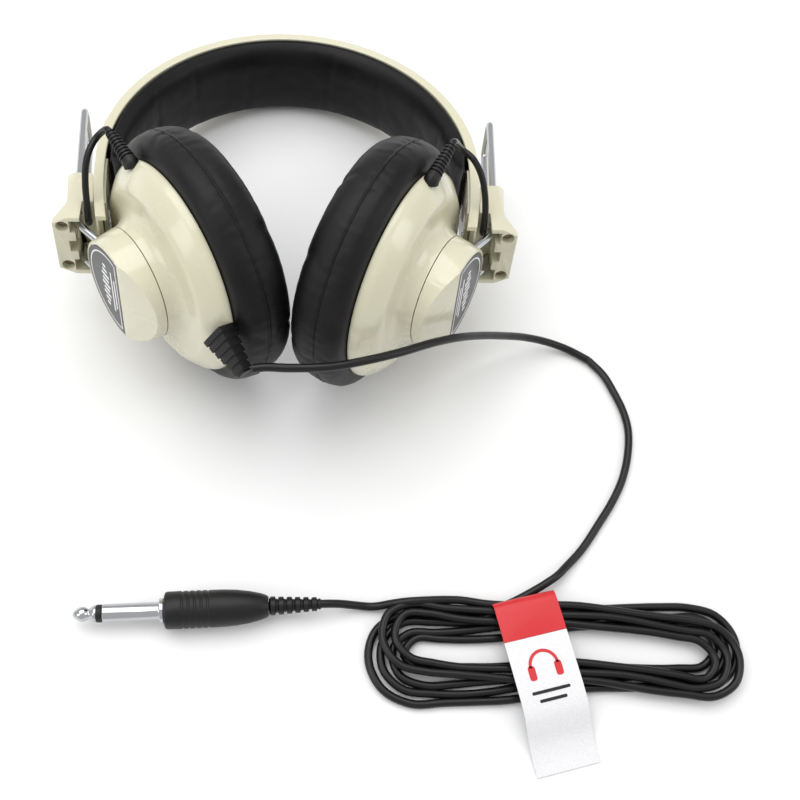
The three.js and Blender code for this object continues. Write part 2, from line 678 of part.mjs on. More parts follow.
// The main cord in the air: off the relief, round the front of the right cup and down to the table.
const CORD_DROP = [
  [-11.2, -45.2, 60.9],
  [-7.2, -44.9, 61.5],
  [1.0, -45.3, 62.0],
  [14.2, -44.6, 62.0],
  [26.0, -41.4, 60.4],
  [38.2, -36.6, 57.2],
  [50.4, -30.2, 52.0],
  [60.5, -24.4, 44.6],
  [70.0, -18.6, 34.6],
  [80.2, -13.0, 23.4],
  [91.5, -8.4, 13.0],
  [102.6, -6.9, 5.6],
  [111.2, -8.4, 2.3],
  [118.9, -12.4, 1.6],
];
// On the table: away to the right, round, and back into the bundle.
const CORD_RUN = [
  [118.9, -12.4, 1.6],
  [124.4, -18.7, 1.6],
  [127.9, -25.9, 1.6],
  [130.9, -33.9, 1.6],
  [132.2, -41.9, 1.6],
  [131.0, -52.2, 1.6],
  [127.8, -62.4, 1.6],
  [123.1, -71.2, 1.6],
  [117.7, -79.1, 1.6],
  [108.0, -91.1, 1.6],
  [101.4, -98.2, 2.0],
  [95.0, -104.2, 3.2],
];
const PLUG_CORD = [
  [13.4, -111.2, 6.5],
  [20.0, -110.9, 5.1],
  [28.0, -110.9, 3.0],
  [35.0, -111.4, 1.9],
];
const HANK = { x: [29, 168], y: [-146, -108.5], z: [0.1, 7.4], end: 16 };

function makeCords() {
  const drop = CORD_DROP.slice();
  add(whole, "main_cord_drop", cordAlong(drop, CORD_DIAMETER, 26, 8), BLACK_RUBBER);
  const run = CORD_RUN.slice();
  run[0] = [run[0][0] + 0.4, run[0][1] - 0.4, run[0][2]];
  add(whole, "main_cord_run", cordAlong(run, CORD_DIAMETER, 18, 8), BLACK_RUBBER);
  add(whole, "plug_cord_run", cordAlong(PLUG_CORD, CORD_DIAMETER, 8, 8), BLACK_RUBBER);

  const half = (HANK.y[1] - HANK.y[0]) / 2;
  const middle = (HANK.y[0] + HANK.y[1]) / 2;
  const outline = [];
  for (let i = 0; i <= 16; i++) {
    const a = -Math.PI / 2 + (Math.PI * i) / 16;
    outline.push([HANK.x[1] - HANK.end + HANK.end * Math.cos(a), middle + half * Math.sin(a)]);
  }
  for (let i = 0; i <= 16; i++) {
    const a = Math.PI / 2 + (Math.PI * i) / 16;
    outline.push([HANK.x[0] + HANK.end + HANK.end * Math.cos(a), middle + half * Math.sin(a)]);
  }
  let hank = prism(outline, HANK.z);
  // The plug's cord comes out of a notch in the left end.
  hank = hank.subtract(box([28, 35.4], [-115, -107], [-1, 10]));
  add(whole, "cord_bundle", hank, BLACK_RUBBER);
}

// ---------- plug ----------
const PLUG_ORIGIN = new THREE.Vector3(-72.3, -114.9, 6.65);
const PLUG_HEADING = THREE.MathUtils.degToRad(2.45);

function makePlug() {
  const plug = new THREE.Group();
  plug.position.copy(PLUG_ORIGIN);
  plug.rotation.z = PLUG_HEADING;
  whole.add(plug);
  const along = (profile, sides = 28) => {
    const g = new THREE.LatheGeometry(profile.map(([x, r]) => new THREE.Vector2(r, x)), sides);
    return solid(g.rotateZ(-Math.PI / 2).rotateX(Math.PI / 2));
  };
  const r = PLUG_DIAMETER / 2;
  const tip = [
    [0, 0], [0.4, 1.1], [2.9, 2.6], [4.0, 2.55], [5.3, 1.75], [6.6, 2.3], [7.6, 2.9], [8.0, 2.9], [8.0, 0],
  ];
  add(plug, "plug_tip", along(tip), CHROME);
  add(plug, "plug_insulator", along([[8.3, 0], [8.3, r - 0.1], [9.9, r - 0.1], [9.9, 0]]), BLACK_PLASTIC);
  add(plug, "plug_sleeve", along([[10.2, 0], [10.2, r], [29.6, r], [29.6, 4.3], [31, 4.3], [31, 0]]), CHROME);
  const handle = [
    [31.3, 0], [31.3, 5.9], [32.2, 6.5], [55.5, 6.4], [60.5, 5.4], [65.8, 4.2], [67.2, 3.4], [67.2, 0],
  ];
  add(plug, "plug_body", along(handle), BLACK_RUBBER);
  const relief = [[67.5, 0], [67.5, 3.3]];
  for (let i = 0; i < 5; i++) {
    const x = 67.9 + i * 3.5;
    const out = 3.3 - i * 0.15;
    relief.push([x, out], [x + 1.6, out - 0.05], [x + 1.9, out - 0.75], [x + 2.6, out - 0.8]);
  }
  relief.push([85.4, 2.1], [85.4, 0]);
  add(plug, "plug_relief", along(relief, 16), BLACK_RUBBER);
}

// ---------- tag ----------
// A red band goes round the bundle, and its white tail lies out over the table.
function makeTag() {
  const tag = new THREE.Group();
  tag.position.set(87.2, -116.5, 0);
  tag.rotation.z = THREE.MathUtils.degToRad(13);
  whole.add(tag);
  add(tag, "tag_band", box([-11.6, 11.6], [-6.8, 6.8], [7.8, 8.8]), RED);
  const drop = [[0, 0], [26.5, -0.2], [31, -2.4], [36, -5.9], [41, -7.7], [46, -7.85]];
  const top = drop.map(([run, fall]) => [-7.1 - run, 8.6 + fall]);
  const under = top.map(([y, z]) => [y, z - 0.6]).reverse();
  const outline = new THREE.Shape([...top, ...under].map(([y, z]) => new THREE.Vector2(y, z)));
  const g = new THREE.ExtrudeGeometry(outline, { depth: 23.2, bevelEnabled: false });
  g.rotateZ(Math.PI / 2).rotateY(Math.PI / 2).translate(-11.6, 0, 0);
  add(tag, "tag_tail", solid(g), PAPER);
}

makeHeadband();
for (const [side, name] of [[-1, "left"], [1, "right"]]) {
  makeBlock(side, name);
  makeYoke(side, name);
  makeCup(side, name);
  makeLinkCord(side, name);
}
makeCords();
makePlug();
makeTag();

export default part;
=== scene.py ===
"""Radio headphones lying on a table: materials, soft goods, cords and fine surfaces over the CAD frame."""

import json
import math

import bmesh
import bpy
from mathutils import Matrix, Vector, noise
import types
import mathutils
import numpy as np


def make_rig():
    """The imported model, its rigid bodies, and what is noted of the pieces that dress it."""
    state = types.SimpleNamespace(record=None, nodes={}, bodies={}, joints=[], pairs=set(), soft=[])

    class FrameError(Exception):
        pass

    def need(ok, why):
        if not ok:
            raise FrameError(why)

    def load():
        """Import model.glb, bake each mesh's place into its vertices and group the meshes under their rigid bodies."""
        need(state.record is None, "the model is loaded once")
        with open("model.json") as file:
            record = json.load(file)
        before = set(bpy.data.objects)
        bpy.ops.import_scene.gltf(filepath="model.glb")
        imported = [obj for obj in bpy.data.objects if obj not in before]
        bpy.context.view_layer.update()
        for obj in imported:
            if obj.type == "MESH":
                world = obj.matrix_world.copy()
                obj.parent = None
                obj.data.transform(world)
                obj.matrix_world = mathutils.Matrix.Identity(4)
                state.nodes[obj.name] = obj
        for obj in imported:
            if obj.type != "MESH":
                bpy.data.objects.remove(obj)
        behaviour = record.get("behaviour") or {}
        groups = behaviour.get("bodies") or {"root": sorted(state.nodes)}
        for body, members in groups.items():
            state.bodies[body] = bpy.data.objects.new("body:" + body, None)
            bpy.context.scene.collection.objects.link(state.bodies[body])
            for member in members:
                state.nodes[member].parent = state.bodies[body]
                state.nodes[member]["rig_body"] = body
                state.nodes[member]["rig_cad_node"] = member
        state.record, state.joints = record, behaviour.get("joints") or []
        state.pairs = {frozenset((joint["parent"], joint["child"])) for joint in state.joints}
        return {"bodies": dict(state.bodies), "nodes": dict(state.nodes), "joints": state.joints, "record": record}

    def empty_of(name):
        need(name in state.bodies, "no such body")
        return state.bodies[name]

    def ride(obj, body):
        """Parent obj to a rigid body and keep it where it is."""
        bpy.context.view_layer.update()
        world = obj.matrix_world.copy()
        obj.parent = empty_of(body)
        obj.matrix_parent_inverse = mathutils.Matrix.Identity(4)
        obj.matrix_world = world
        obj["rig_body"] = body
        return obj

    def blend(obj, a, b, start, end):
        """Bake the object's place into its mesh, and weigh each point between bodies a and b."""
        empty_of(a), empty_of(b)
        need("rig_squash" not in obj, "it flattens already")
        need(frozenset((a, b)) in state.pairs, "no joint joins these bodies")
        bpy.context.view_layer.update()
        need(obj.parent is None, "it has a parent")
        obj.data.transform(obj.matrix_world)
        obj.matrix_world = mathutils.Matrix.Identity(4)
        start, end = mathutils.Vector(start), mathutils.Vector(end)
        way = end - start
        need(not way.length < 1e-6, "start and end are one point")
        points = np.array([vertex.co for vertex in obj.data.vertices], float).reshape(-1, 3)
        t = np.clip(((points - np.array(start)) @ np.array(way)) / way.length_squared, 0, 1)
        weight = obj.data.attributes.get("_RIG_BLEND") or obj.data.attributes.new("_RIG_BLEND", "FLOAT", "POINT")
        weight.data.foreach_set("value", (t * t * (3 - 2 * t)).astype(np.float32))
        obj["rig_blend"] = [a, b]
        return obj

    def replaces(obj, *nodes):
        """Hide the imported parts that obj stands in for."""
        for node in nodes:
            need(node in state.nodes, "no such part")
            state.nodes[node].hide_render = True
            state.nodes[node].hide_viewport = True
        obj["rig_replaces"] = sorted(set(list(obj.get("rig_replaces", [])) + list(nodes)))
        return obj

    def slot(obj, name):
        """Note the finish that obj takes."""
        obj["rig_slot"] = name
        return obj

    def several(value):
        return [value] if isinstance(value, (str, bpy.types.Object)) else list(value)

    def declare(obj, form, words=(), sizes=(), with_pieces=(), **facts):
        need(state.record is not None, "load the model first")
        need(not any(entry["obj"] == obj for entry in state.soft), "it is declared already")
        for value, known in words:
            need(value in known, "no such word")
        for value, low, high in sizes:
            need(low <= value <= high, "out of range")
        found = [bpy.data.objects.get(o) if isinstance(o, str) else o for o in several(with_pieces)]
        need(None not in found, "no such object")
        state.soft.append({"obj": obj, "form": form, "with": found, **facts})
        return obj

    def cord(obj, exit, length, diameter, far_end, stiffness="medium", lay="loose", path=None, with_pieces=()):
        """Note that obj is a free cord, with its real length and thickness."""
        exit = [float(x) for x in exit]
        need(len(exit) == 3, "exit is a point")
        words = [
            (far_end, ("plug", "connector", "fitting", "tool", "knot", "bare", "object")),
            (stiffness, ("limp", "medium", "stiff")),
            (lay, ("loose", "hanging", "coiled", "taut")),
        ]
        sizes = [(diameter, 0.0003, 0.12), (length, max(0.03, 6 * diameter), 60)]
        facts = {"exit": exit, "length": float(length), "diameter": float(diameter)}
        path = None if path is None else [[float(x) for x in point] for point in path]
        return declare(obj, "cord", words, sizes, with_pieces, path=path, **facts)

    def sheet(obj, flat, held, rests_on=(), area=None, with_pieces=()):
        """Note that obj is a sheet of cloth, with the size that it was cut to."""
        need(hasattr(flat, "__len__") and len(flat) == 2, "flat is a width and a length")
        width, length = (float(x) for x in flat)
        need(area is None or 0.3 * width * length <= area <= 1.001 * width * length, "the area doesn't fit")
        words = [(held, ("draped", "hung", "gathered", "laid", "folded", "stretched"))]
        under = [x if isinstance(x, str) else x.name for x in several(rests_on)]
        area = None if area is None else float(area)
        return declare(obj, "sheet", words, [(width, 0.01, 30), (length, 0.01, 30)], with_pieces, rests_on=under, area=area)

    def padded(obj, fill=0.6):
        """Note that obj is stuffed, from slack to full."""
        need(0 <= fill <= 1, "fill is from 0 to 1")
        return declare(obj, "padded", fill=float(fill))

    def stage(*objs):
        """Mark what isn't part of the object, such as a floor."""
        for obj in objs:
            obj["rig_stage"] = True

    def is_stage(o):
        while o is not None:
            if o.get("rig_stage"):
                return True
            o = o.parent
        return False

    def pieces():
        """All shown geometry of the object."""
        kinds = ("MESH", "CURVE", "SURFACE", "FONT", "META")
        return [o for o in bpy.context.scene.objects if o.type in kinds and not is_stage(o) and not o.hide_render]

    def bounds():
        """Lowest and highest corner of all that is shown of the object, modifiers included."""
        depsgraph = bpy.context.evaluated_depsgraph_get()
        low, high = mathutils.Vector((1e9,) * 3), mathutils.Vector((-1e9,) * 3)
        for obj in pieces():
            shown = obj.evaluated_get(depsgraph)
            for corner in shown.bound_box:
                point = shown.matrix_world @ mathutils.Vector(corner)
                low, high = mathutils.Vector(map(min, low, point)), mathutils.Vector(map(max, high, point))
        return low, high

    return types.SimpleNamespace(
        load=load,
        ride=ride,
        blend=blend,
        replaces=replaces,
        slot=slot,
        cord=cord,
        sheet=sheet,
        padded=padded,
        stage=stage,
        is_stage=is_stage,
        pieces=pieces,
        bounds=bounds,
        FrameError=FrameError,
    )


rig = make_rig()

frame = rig.load()
CAD_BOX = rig.bounds()
NODES = frame["nodes"]
SIDES = (("left", -1), ("right", 1))

# ---------------------------------------------------------------- frame of the headphones, in millimetres
# The headphones lean back by TIP on the table.
TIP = math.radians(15.5)
CT, ST = math.cos(TIP), math.sin(TIP)
AXIS_HEIGHT = 47.0
CENTRE_Y = 39.65


def head(x, y, z):
    """A point of the straight headphones' frame, in millimetres, as a point on the table in metres."""
    return Vector((x, CT * y + ST * z - CENTRE_Y, -ST * y + CT * z + AXIS_HEIGHT)) / 1000


def floor_point(x, y, z):
    """A point over the table, in millimetres from under the cups' axis, in metres of the row frame."""
    return Vector((x, y - CENTRE_Y, z)) / 1000


# ---------------------------------------------------------------- camera
CAM_PLACE = (-0.23, -209.64, 425.38)
CAM_RIGHT = (0.99540, -0.02322, 0.09294)
CAM_UP = (-0.01470, 0.92166, 0.38772)
LENS = 54.045


def make_camera():
    data = bpy.data.cameras.new("camera")
    data.sensor_width = 36
    data.lens = LENS
    data.clip_start = 0.01
    camera = bpy.data.objects.new("camera", data)
    bpy.context.scene.collection.objects.link(camera)
    right, up = Vector(CAM_RIGHT), Vector(CAM_UP)
    back = right.cross(up)
    camera.matrix_world = Matrix.Translation(floor_point(*CAM_PLACE)) @ Matrix(
        (
            (right.x, up.x, back.x, 0),
            (right.y, up.y, back.y, 0),
            (right.z, up.z, back.z, 0),
            (0, 0, 0, 1),
        )
    )
    bpy.context.scene.camera = camera


make_camera()

# ---------------------------------------------------------------- materials
# Most of a noise texture lies between these two values.
NOISE_LOW = 0.3
NOISE_HIGH = 0.7


def new_material(name, slot, color, roughness, metallic=0.0, coat=0.0, specular=0.5):
    """A principled material with its node tree's nodes and links, its shader and its texture coordinates."""
    m = bpy.data.materials.new(name)
    m.use_nodes = True
    nodes, links = m.node_tree.nodes, m.node_tree.links
    shader = nodes["Principled BSDF"]
    shader.inputs["Base Color"].default_value = (*color, 1)
    shader.inputs["Roughness"].default_value = roughness
    shader.inputs["Metallic"].default_value = metallic
    shader.inputs["Coat Weight"].default_value = coat
    shader.inputs["Coat Roughness"].default_value = 0.08
    shader.inputs["Specular IOR Level"].default_value = specular
    coords = nodes.new("ShaderNodeTexCoord")
    m["slot"] = slot
    return m, nodes, links, shader, coords


def noise_node(nodes, links, coords, scale, detail=3.0, stretch=(1, 1, 1), kind="noise"):
    """A noise texture's value, or the distance of a Voronoi texture with kind as its feature."""
    mapping = nodes.new("ShaderNodeMapping")
    mapping.inputs["Scale"].default_value = stretch
    links.new(coords.outputs["Object"], mapping.inputs["Vector"])
    if kind == "noise":
        tex = nodes.new("ShaderNodeTexNoise")
        tex.inputs["Detail"].default_value = detail
        out = tex.outputs["Fac"]
    else:
        tex = nodes.new("ShaderNodeTexVoronoi")
        tex.feature = kind
        out = tex.outputs["Distance"]
    tex.inputs["Scale"].default_value = scale
    links.new(mapping.outputs["Vector"], tex.inputs["Vector"])
    return out


def mapped(nodes, links, value, to_low, to_high):
    """The middle of a noise's range, stretched to run from to_low to to_high."""
    r = nodes.new("ShaderNodeMapRange")
    r.inputs["From Min"].default_value = NOISE_LOW
    r.inputs["From Max"].default_value = NOISE_HIGH
    r.inputs["To Min"].default_value = to_low
    r.inputs["To Max"].default_value = to_high
    links.new(value, r.inputs["Value"])
    return r.outputs["Result"]


def bumped(nodes, links, shader, heights):
    """Chains bumps given as (height socket, strength, distance in metres)."""
    last = None
    for value, strength, distance in heights:
        b = nodes.new("ShaderNodeBump")
        b.inputs["Strength"].default_value = strength
        b.inputs["Distance"].default_value = distance
        links.new(value, b.inputs["Height"])
        if last is not None:
            links.new(last, b.inputs["Normal"])
        last = b.outputs["Normal"]
    links.new(last, shader.inputs["Normal"])


def tinted(nodes, links, shader, value, dark, light):
    """The base colour runs from dark to light with value."""
    ramp = nodes.new("ShaderNodeValToRGB")
    ramp.color_ramp.elements[0].position = NOISE_LOW
    ramp.color_ramp.elements[0].color = (*dark, 1)
    ramp.color_ramp.elements[1].position = NOISE_HIGH
    ramp.color_ramp.elements[1].color = (*light, 1)
    links.new(value, ramp.inputs["Fac"])
    links.new(ramp.outputs["Color"], shader.inputs["Base Color"])


def ivory_plastic():
    m, n, l, s, c = new_material("ivory plastic", "ivory_plastic", (0.63, 0.61, 0.46), 0.24, coat=0.5)
    cloud = noise_node(n, l, c, 14, 2)
    tinted(n, l, s, cloud, (0.610, 0.585, 0.430), (0.645, 0.625, 0.475))
    fine = noise_node(n, l, c, 90, 2)
    l.new(mapped(n, l, fine, 0.22, 0.29), s.inputs["Roughness"])
    scuff = noise_node(n, l, c, 420, 5, (1, 0.16, 1))
    wave = noise_node(n, l, c, 70, 1)
    bumped(n, l, s, [(wave, 0.03, 0.0002), (scuff, 0.015, 0.00002)])
    return m


def black_vinyl():
    m, n, l, s, c = new_material("black vinyl", "black_vinyl", (0.004, 0.004, 0.0045), 0.42, specular=0.22)
    worn = noise_node(n, l, c, 45, 3)
    tinted(n, l, s, worn, (0.0030, 0.0030, 0.0034), (0.0065, 0.0065, 0.0072))
    l.new(mapped(n, l, worn, 0.36, 0.52), s.inputs["Roughness"])
    grain = noise_node(n, l, c, 1500, kind="DISTANCE_TO_EDGE")
    pores = noise_node(n, l, c, 3200, 2)
    soft = noise_node(n, l, c, 240, 3)
    bumped(n, l, s, [(soft, 0.25, 0.0005), (grain, 0.35, 0.00022), (pores, 0.12, 0.00006)])
    return m


def dark_moulding(name, slot, color, roughness):
    m, n, l, s, c = new_material(name, slot, color, roughness, specular=0.35)
    cloud = noise_node(n, l, c, 120, 4)
    l.new(mapped(n, l, cloud, roughness - 0.07, roughness + 0.08), s.inputs["Roughness"])
    skin = noise_node(n, l, c, 2200, 3)
    bumped(n, l, s, [(cloud, 0.12, 0.0002), (skin, 0.12, 0.00004)])
    return m


def metal(name, slot, color, roughness, streak=(1, 1, 1)):
    m, n, l, s, c = new_material(name, slot, color, roughness, metallic=1.0)
    lines = noise_node(n, l, c, 900, 4, streak)
    l.new(mapped(n, l, lines, roughness * 0.6, roughness * 1.5), s.inputs["Roughness"])
    bumped(n, l, s, [(lines, 0.06, 0.00003)])
    return m


def label_print(name, slot, color, roughness):
    m, n, l, s, c = new_material(name, slot, color, roughness, coat=0.1)
    fleck = noise_node(n, l, c, 1800, 3)
    tinted(n, l, s, fleck, tuple(v * 0.93 for v in color), tuple(v * 1.06 for v in color))
    bumped(n, l, s, [(fleck, 0.04, 0.00002)])
    return m


def open_foam():
    m, n, l, s, c = new_material("open foam", "foam", (0.02, 0.02, 0.021), 0.95)
    cells = noise_node(n, l, c, 1300, kind="F1")
    tinted(n, l, s, cells, (0.032, 0.032, 0.034), (0.006, 0.006, 0.006))
    bumped(n, l, s, [(cells, 0.9, 0.0005)])
    return m


IVORY = ivory_plastic()
VINYL = black_vinyl()
RUBBER = dark_moulding("black rubber", "black_rubber", (0.005, 0.005, 0.005), 0.44)
CORD = dark_moulding("cord jacket", "black_rubber", (0.004, 0.004, 0.004), 0.33)
PLASTIC = dark_moulding("black plastic", "black_plastic", (0.008, 0.008, 0.008), 0.5)
CHROME = metal("bright wire", "bright_wire", (0.52, 0.53, 0.55), 0.12)
SCREW = metal("screw steel", "screw_steel", (0.30, 0.24, 0.17), 0.38)
SPRING = metal("spring steel", "spring_steel", (0.24, 0.24, 0.26), 0.35, (1, 0.2, 1))
LABEL = label_print("label foil", "label_grey", (0.050, 0.052, 0.058), 0.42)
PRINT = label_print("label print", "label_grey", (0.80, 0.80, 0.80), 0.45)
FOAM = open_foam()
FILM = label_print("cone film", "cone_film", (0.5, 0.38, 0.14), 0.3)
RED = label_print("red print", "tag_red", (0.58, 0.008, 0.014), 0.42)
WHITE = label_print("white card", "tag_white", (0.74, 0.74, 0.76), 0.5)


# ---------------------------------------------------------------- building meshes
CURVE_PARTS = 12


def clean_mesh(name, verts, faces):
    """A mesh whose coinciding points are joined and whose faces look outwards."""
    mesh = bpy.data.meshes.new(name)
    mesh.from_pydata([tuple(v) for v in verts], [], faces)
    mesh.validate()
    bm = bmesh.new()
    bm.from_mesh(mesh)
    bmesh.ops.remove_doubles(bm, verts=bm.verts, dist=1e-7)
    bmesh.ops.recalc_face_normals(bm, faces=bm.faces)
    bm.to_mesh(mesh)
    bm.free()
    return mesh


def make(name, verts, faces, material, body, stands_for=(), smooth=40):
    return place(name, clean_mesh(name, verts, faces), material, body, stands_for, smooth)


def place(name, mesh, material, body, stands_for=(), smooth=40):
    """A piece on a body, standing for CAD nodes. Edges sharper than smooth, in degrees, stay sharp."""
    mesh.materials.clear()
    mesh.materials.append(material)
    mesh.polygons.foreach_set("use_smooth", [True] * len(mesh.polygons))
    mesh.set_sharp_from_angle(angle=math.radians(smooth))
    obj = bpy.data.objects.new(name.replace(",", "").replace(" ", "-"), mesh)
    bpy.context.scene.collection.objects.link(obj)
    if body:
        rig.ride(obj, body)
    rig.slot(obj, material["slot"])
    if stands_for:
        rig.replaces(obj, *stands_for)
    return obj


def grid(rows, close_rows=False, close_columns=True, caps=True):
    """Vertices and faces of a surface through rows of points, each row a ring."""
    verts = [p for row in rows for p in row]
    n = len(rows[0])
    faces = []
    last = len(rows) if close_rows else len(rows) - 1
    for i in range(last):
        j = (i + 1) % len(rows)
        for k in range(n if close_columns else n - 1):
            m = (k + 1) % n
            faces.append((i * n + k, i * n + m, j * n + m, j * n + k))
    if caps and not close_rows:
        faces.append(tuple(range(n))[::-1])
        faces.append(tuple((len(rows) - 1) * n + k for k in range(n)))
    return verts, faces


def extended(points):
    """The points as vectors, with one more at each end, in line with the last two."""
    p = [Vector(q) for q in points]
    return [p[0] * 2 - p[1]] + p + [p[-1] * 2 - p[-2]]


def smooth_line(points, step):
    """A centripetal curve through the points, with a point at each step along it."""
    p = extended(points)
    dense = []
    for i in range(1, len(p) - 2):
        a, b, c, d = p[i - 1 : i + 3]
        t0, t1 = 0.0, (b - a).length ** 0.5
        t2 = t1 + (c - b).length ** 0.5
        t3 = t2 + (d - c).length ** 0.5
        for k in range(CURVE_PARTS):
            t = t1 + (t2 - t1) * k / CURVE_PARTS
            a1 = a.lerp(b, (t - t0) / (t1 - t0))
            a2 = b.lerp(c, (t - t1) / (t2 - t1))
            a3 = c.lerp(d, (t - t2) / (t3 - t2))
            early = a1.lerp(a2, (t - t0) / (t2 - t0))
            late = a2.lerp(a3, (t - t1) / (t3 - t1))
            dense.append(early.lerp(late, (t - t1) / (t2 - t1)))
    dense.append(p[-2])
    out, left = [dense[0]], step
    for a, b in zip(dense, dense[1:]):
        length = (b - a).length
        while length >= left and length > 0:
            a = a.lerp(b, left / length)
            out.append(a.copy())
            length -= left
            left = step
        left -= length
    if (out[-1] - dense[-1]).length < step * 0.5:
        out[-1] = dense[-1]
    else:
        out.append(dense[-1])
    return out


def line_length(points):
    return sum((b - a).length for a, b in zip(points, points[1:]))


def tube(name, points, radius, material, body, stands_for=(), sides=14):
    """A round bar along points; radius is a number, or a function of the share of the way along."""
    rows = []
    side = (points[1] - points[0]).orthogonal().normalized()
    for i, p in enumerate(points):
        a, b = points[max(i - 1, 0)], points[min(i + 1, len(points) - 1)]
        t = (b - a).normalized()
        side = (side - t * side.dot(t)).normalized()
        up = t.cross(side)
        r = radius(i / (len(points) - 1)) if callable(radius) else radius
        angles = [2 * math.pi * k / sides for k in range(sides)]
        rows.append([p + (side * math.cos(w) + up * math.sin(w)) * r for w in angles])
    verts, faces = grid(rows)
    return make(name, verts, faces, material, body, stands_for, smooth=60)


def lathe(profile, place_at, segments, shift=None):
    """Turns a profile of radius and height; a profile that starts away from the axis is closed on itself."""
    rows = []
    for k in range(segments):
        a = 2 * math.pi * k / segments
        row = []
        for r, h in profile:
            if shift:
                r, h = shift(r, h, a)
            row.append(place_at(r * math.cos(a), r * math.sin(a), h))
        rows.append(row)
    closed = profile[0][0] > 1e-6
    return grid(rows, close_rows=True, close_columns=closed, caps=False)


def revolve(name, profile, place_at, material, body, stands_for=(), segments=96, shift=None, smooth=35):
    """A solid of revolution. place_at turns its u, v and h, in millimetres, into a point."""
    verts, faces = lathe(profile, place_at, segments, shift)
    return make(name, verts, faces, material, body, stands_for, smooth)


def rounded(points, radius, steps=4):
    """A closed outline in two dimensions with its corners rounded."""
    out = []
    n = len(points)
    for i in range(n):
        p = Vector(points[i])
        a, b = Vector(points[i - 1]) - p, Vector(points[(i + 1) % n]) - p
        reach = min(radius, a.length * 0.45, b.length * 0.45)
        s, e = p + a.normalized() * reach, p + b.normalized() * reach
        for k in range(steps + 1):
            t = k / steps
            out.append(s.lerp(p, t).lerp(p.lerp(e, t), t))
    return [(q.x, q.y) for q in out]


SHARP = math.radians(32)


def carried(node, material, bevel=0.0):
    """A CAD piece keeps its own mesh. bevel is the width of its softened edges, in millimetres."""
    obj = NODES[node]
    obj.data.materials.clear()
    obj.data.materials.append(material)
    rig.slot(obj, material["slot"])
    obj.data.polygons.foreach_set("use_smooth", [True] * len(obj.data.polygons))
    if bevel:
        weld = obj.modifiers.new("weld", "WELD")
        weld.merge_threshold = 1e-6
        m = obj.modifiers.new("edges", "BEVEL")
        m.width = bevel / 1000
        m.segments = 3
        m.limit_method = "ANGLE"
        m.angle_limit = SHARP
        m.harden_normals = True
        m.use_clamp_overlap = True
    else:
        obj.data.set_sharp_from_angle(angle=SHARP)


# ---------------------------------------------------------------- the cords' routes, in millimetres
CORD_D = 3.0
DROP = [
    (-11.2, -45.2, 60.9), (-7.2, -44.9, 61.5), (1.0, -45.3, 62.0), (14.2, -44.6, 62.0), (26.0, -41.4, 60.4),
    (38.2, -36.6, 57.2), (50.4, -30.2, 52.0), (60.5, -24.4, 44.6), (70.0, -18.6, 34.6), (80.2, -13.0, 23.4),
    (91.5, -8.4, 13.0), (102.6, -6.9, 5.6), (111.2, -8.4, 2.3), (118.9, -12.4, 1.6),
]
RUN = [
    (118.9, -12.4, 1.6), (124.4, -18.7, 1.6), (127.9, -25.9, 1.6), (130.9, -33.9, 1.6), (132.2, -41.9, 1.6),
    (131.0, -52.2, 1.6), (127.8, -62.4, 1.6), (123.1, -71.2, 1.6), (117.7, -79.1, 1.6), (110.0, -89.6, 1.6),
    (103.4, -96.4, 2.6), (97.6, -101.6, 4.4),
]
# From the bundle to the plug; the last three points lie inside the plug's relief and body.
PLUG_END = [
    (44.0, -110.2, 5.6), (38.4, -110.6, 4.0), (32.0, -111.2, 2.0), (26.0, -111.0, 3.0), (20.0, -110.9, 5.1),
    (13.4, -111.2, 6.5), (0.0, -111.8, 6.6), (-14.0, -112.4, 6.65), (-27.3, -113.0, 6.65),
]
CORD_STEP = 0.0018
HANK_CENTRE = (98.0, -127.2)
TURNS = 6
POINTS_PER_TURN = 28
# The cord comes in a little after the first turn's start and leaves a little after the last turn's end.
FIRST_TURN = 0.04
LAST_TURN = TURNS + 0.09
# The turns go inwards up to INNERMOST and then outwards, on a second layer that starts at LIFT_START.
INNERMOST = 3.3
LIFT_START = 3.1
LIFT_TURNS = 0.5
LAYER_LOW = 1.65
LAYER_STEP = 3.0
ENTRY_X = 88
# The lower turns lean one way in degrees and the upper ones the other, so that they cross.
LEAN_LOW = 2.4
LEAN_HIGH = -5.0


def hank_point(turn):
    """The bundle's line, in turns from its start on the far side; it runs left, round, right and back."""
    lifted = max(0.0, min(1.0, (turn - LIFT_START) / LIFT_TURNS))
    if turn < INNERMOST:
        half_width = 16.6 - 3.3 * turn
        half_length = 69.0 - 4.2 * turn
    else:
        half_width = 5.7 + 3.1 * (turn - INNERMOST)
        half_length = 55.1 + 4.4 * (turn - INNERMOST)
    z = LAYER_LOW + LAYER_STEP * lifted * lifted * (3 - 2 * lifted)
    # Each turn is two straight runs and two half circles.
    end = half_length - half_width
    straight = 2 * end
    bend = math.pi * half_width
    s = (turn % 1.0) * 2 * (straight + bend)
    s = (s + end - (ENTRY_X - HANK_CENTRE[0])) % (2 * (straight + bend))
    if s < straight:
        x, y = end - s, half_width
    elif s < straight + bend:
        a = (s - straight) / half_width
        x, y = -end - half_width * math.sin(a), half_width * math.cos(a)
    elif s < 2 * straight + bend:
        x, y = -end + (s - straight - bend), -half_width
    else:
        a = (s - 2 * straight - bend) / half_width
        x, y = end + half_width * math.sin(a), -half_width * math.cos(a)
    # The runs waver a little, as a cord wound by hand does.
    y += 1.1 * math.sin(x / 15 + 0.6) + 0.35 * math.sin(x / 7 + turn * 2.3)
    z += 0.2 * math.sin(x / 23 + turn * 4.1) + 0.2
    lean = math.radians(LEAN_LOW + (LEAN_HIGH - LEAN_LOW) * lifted)
    x, y = x * math.cos(lean) - y * math.sin(lean), x * math.sin(lean) + y * math.cos(lean)
    return (HANK_CENTRE[0] + x, HANK_CENTRE[1] + y + lifted, z)


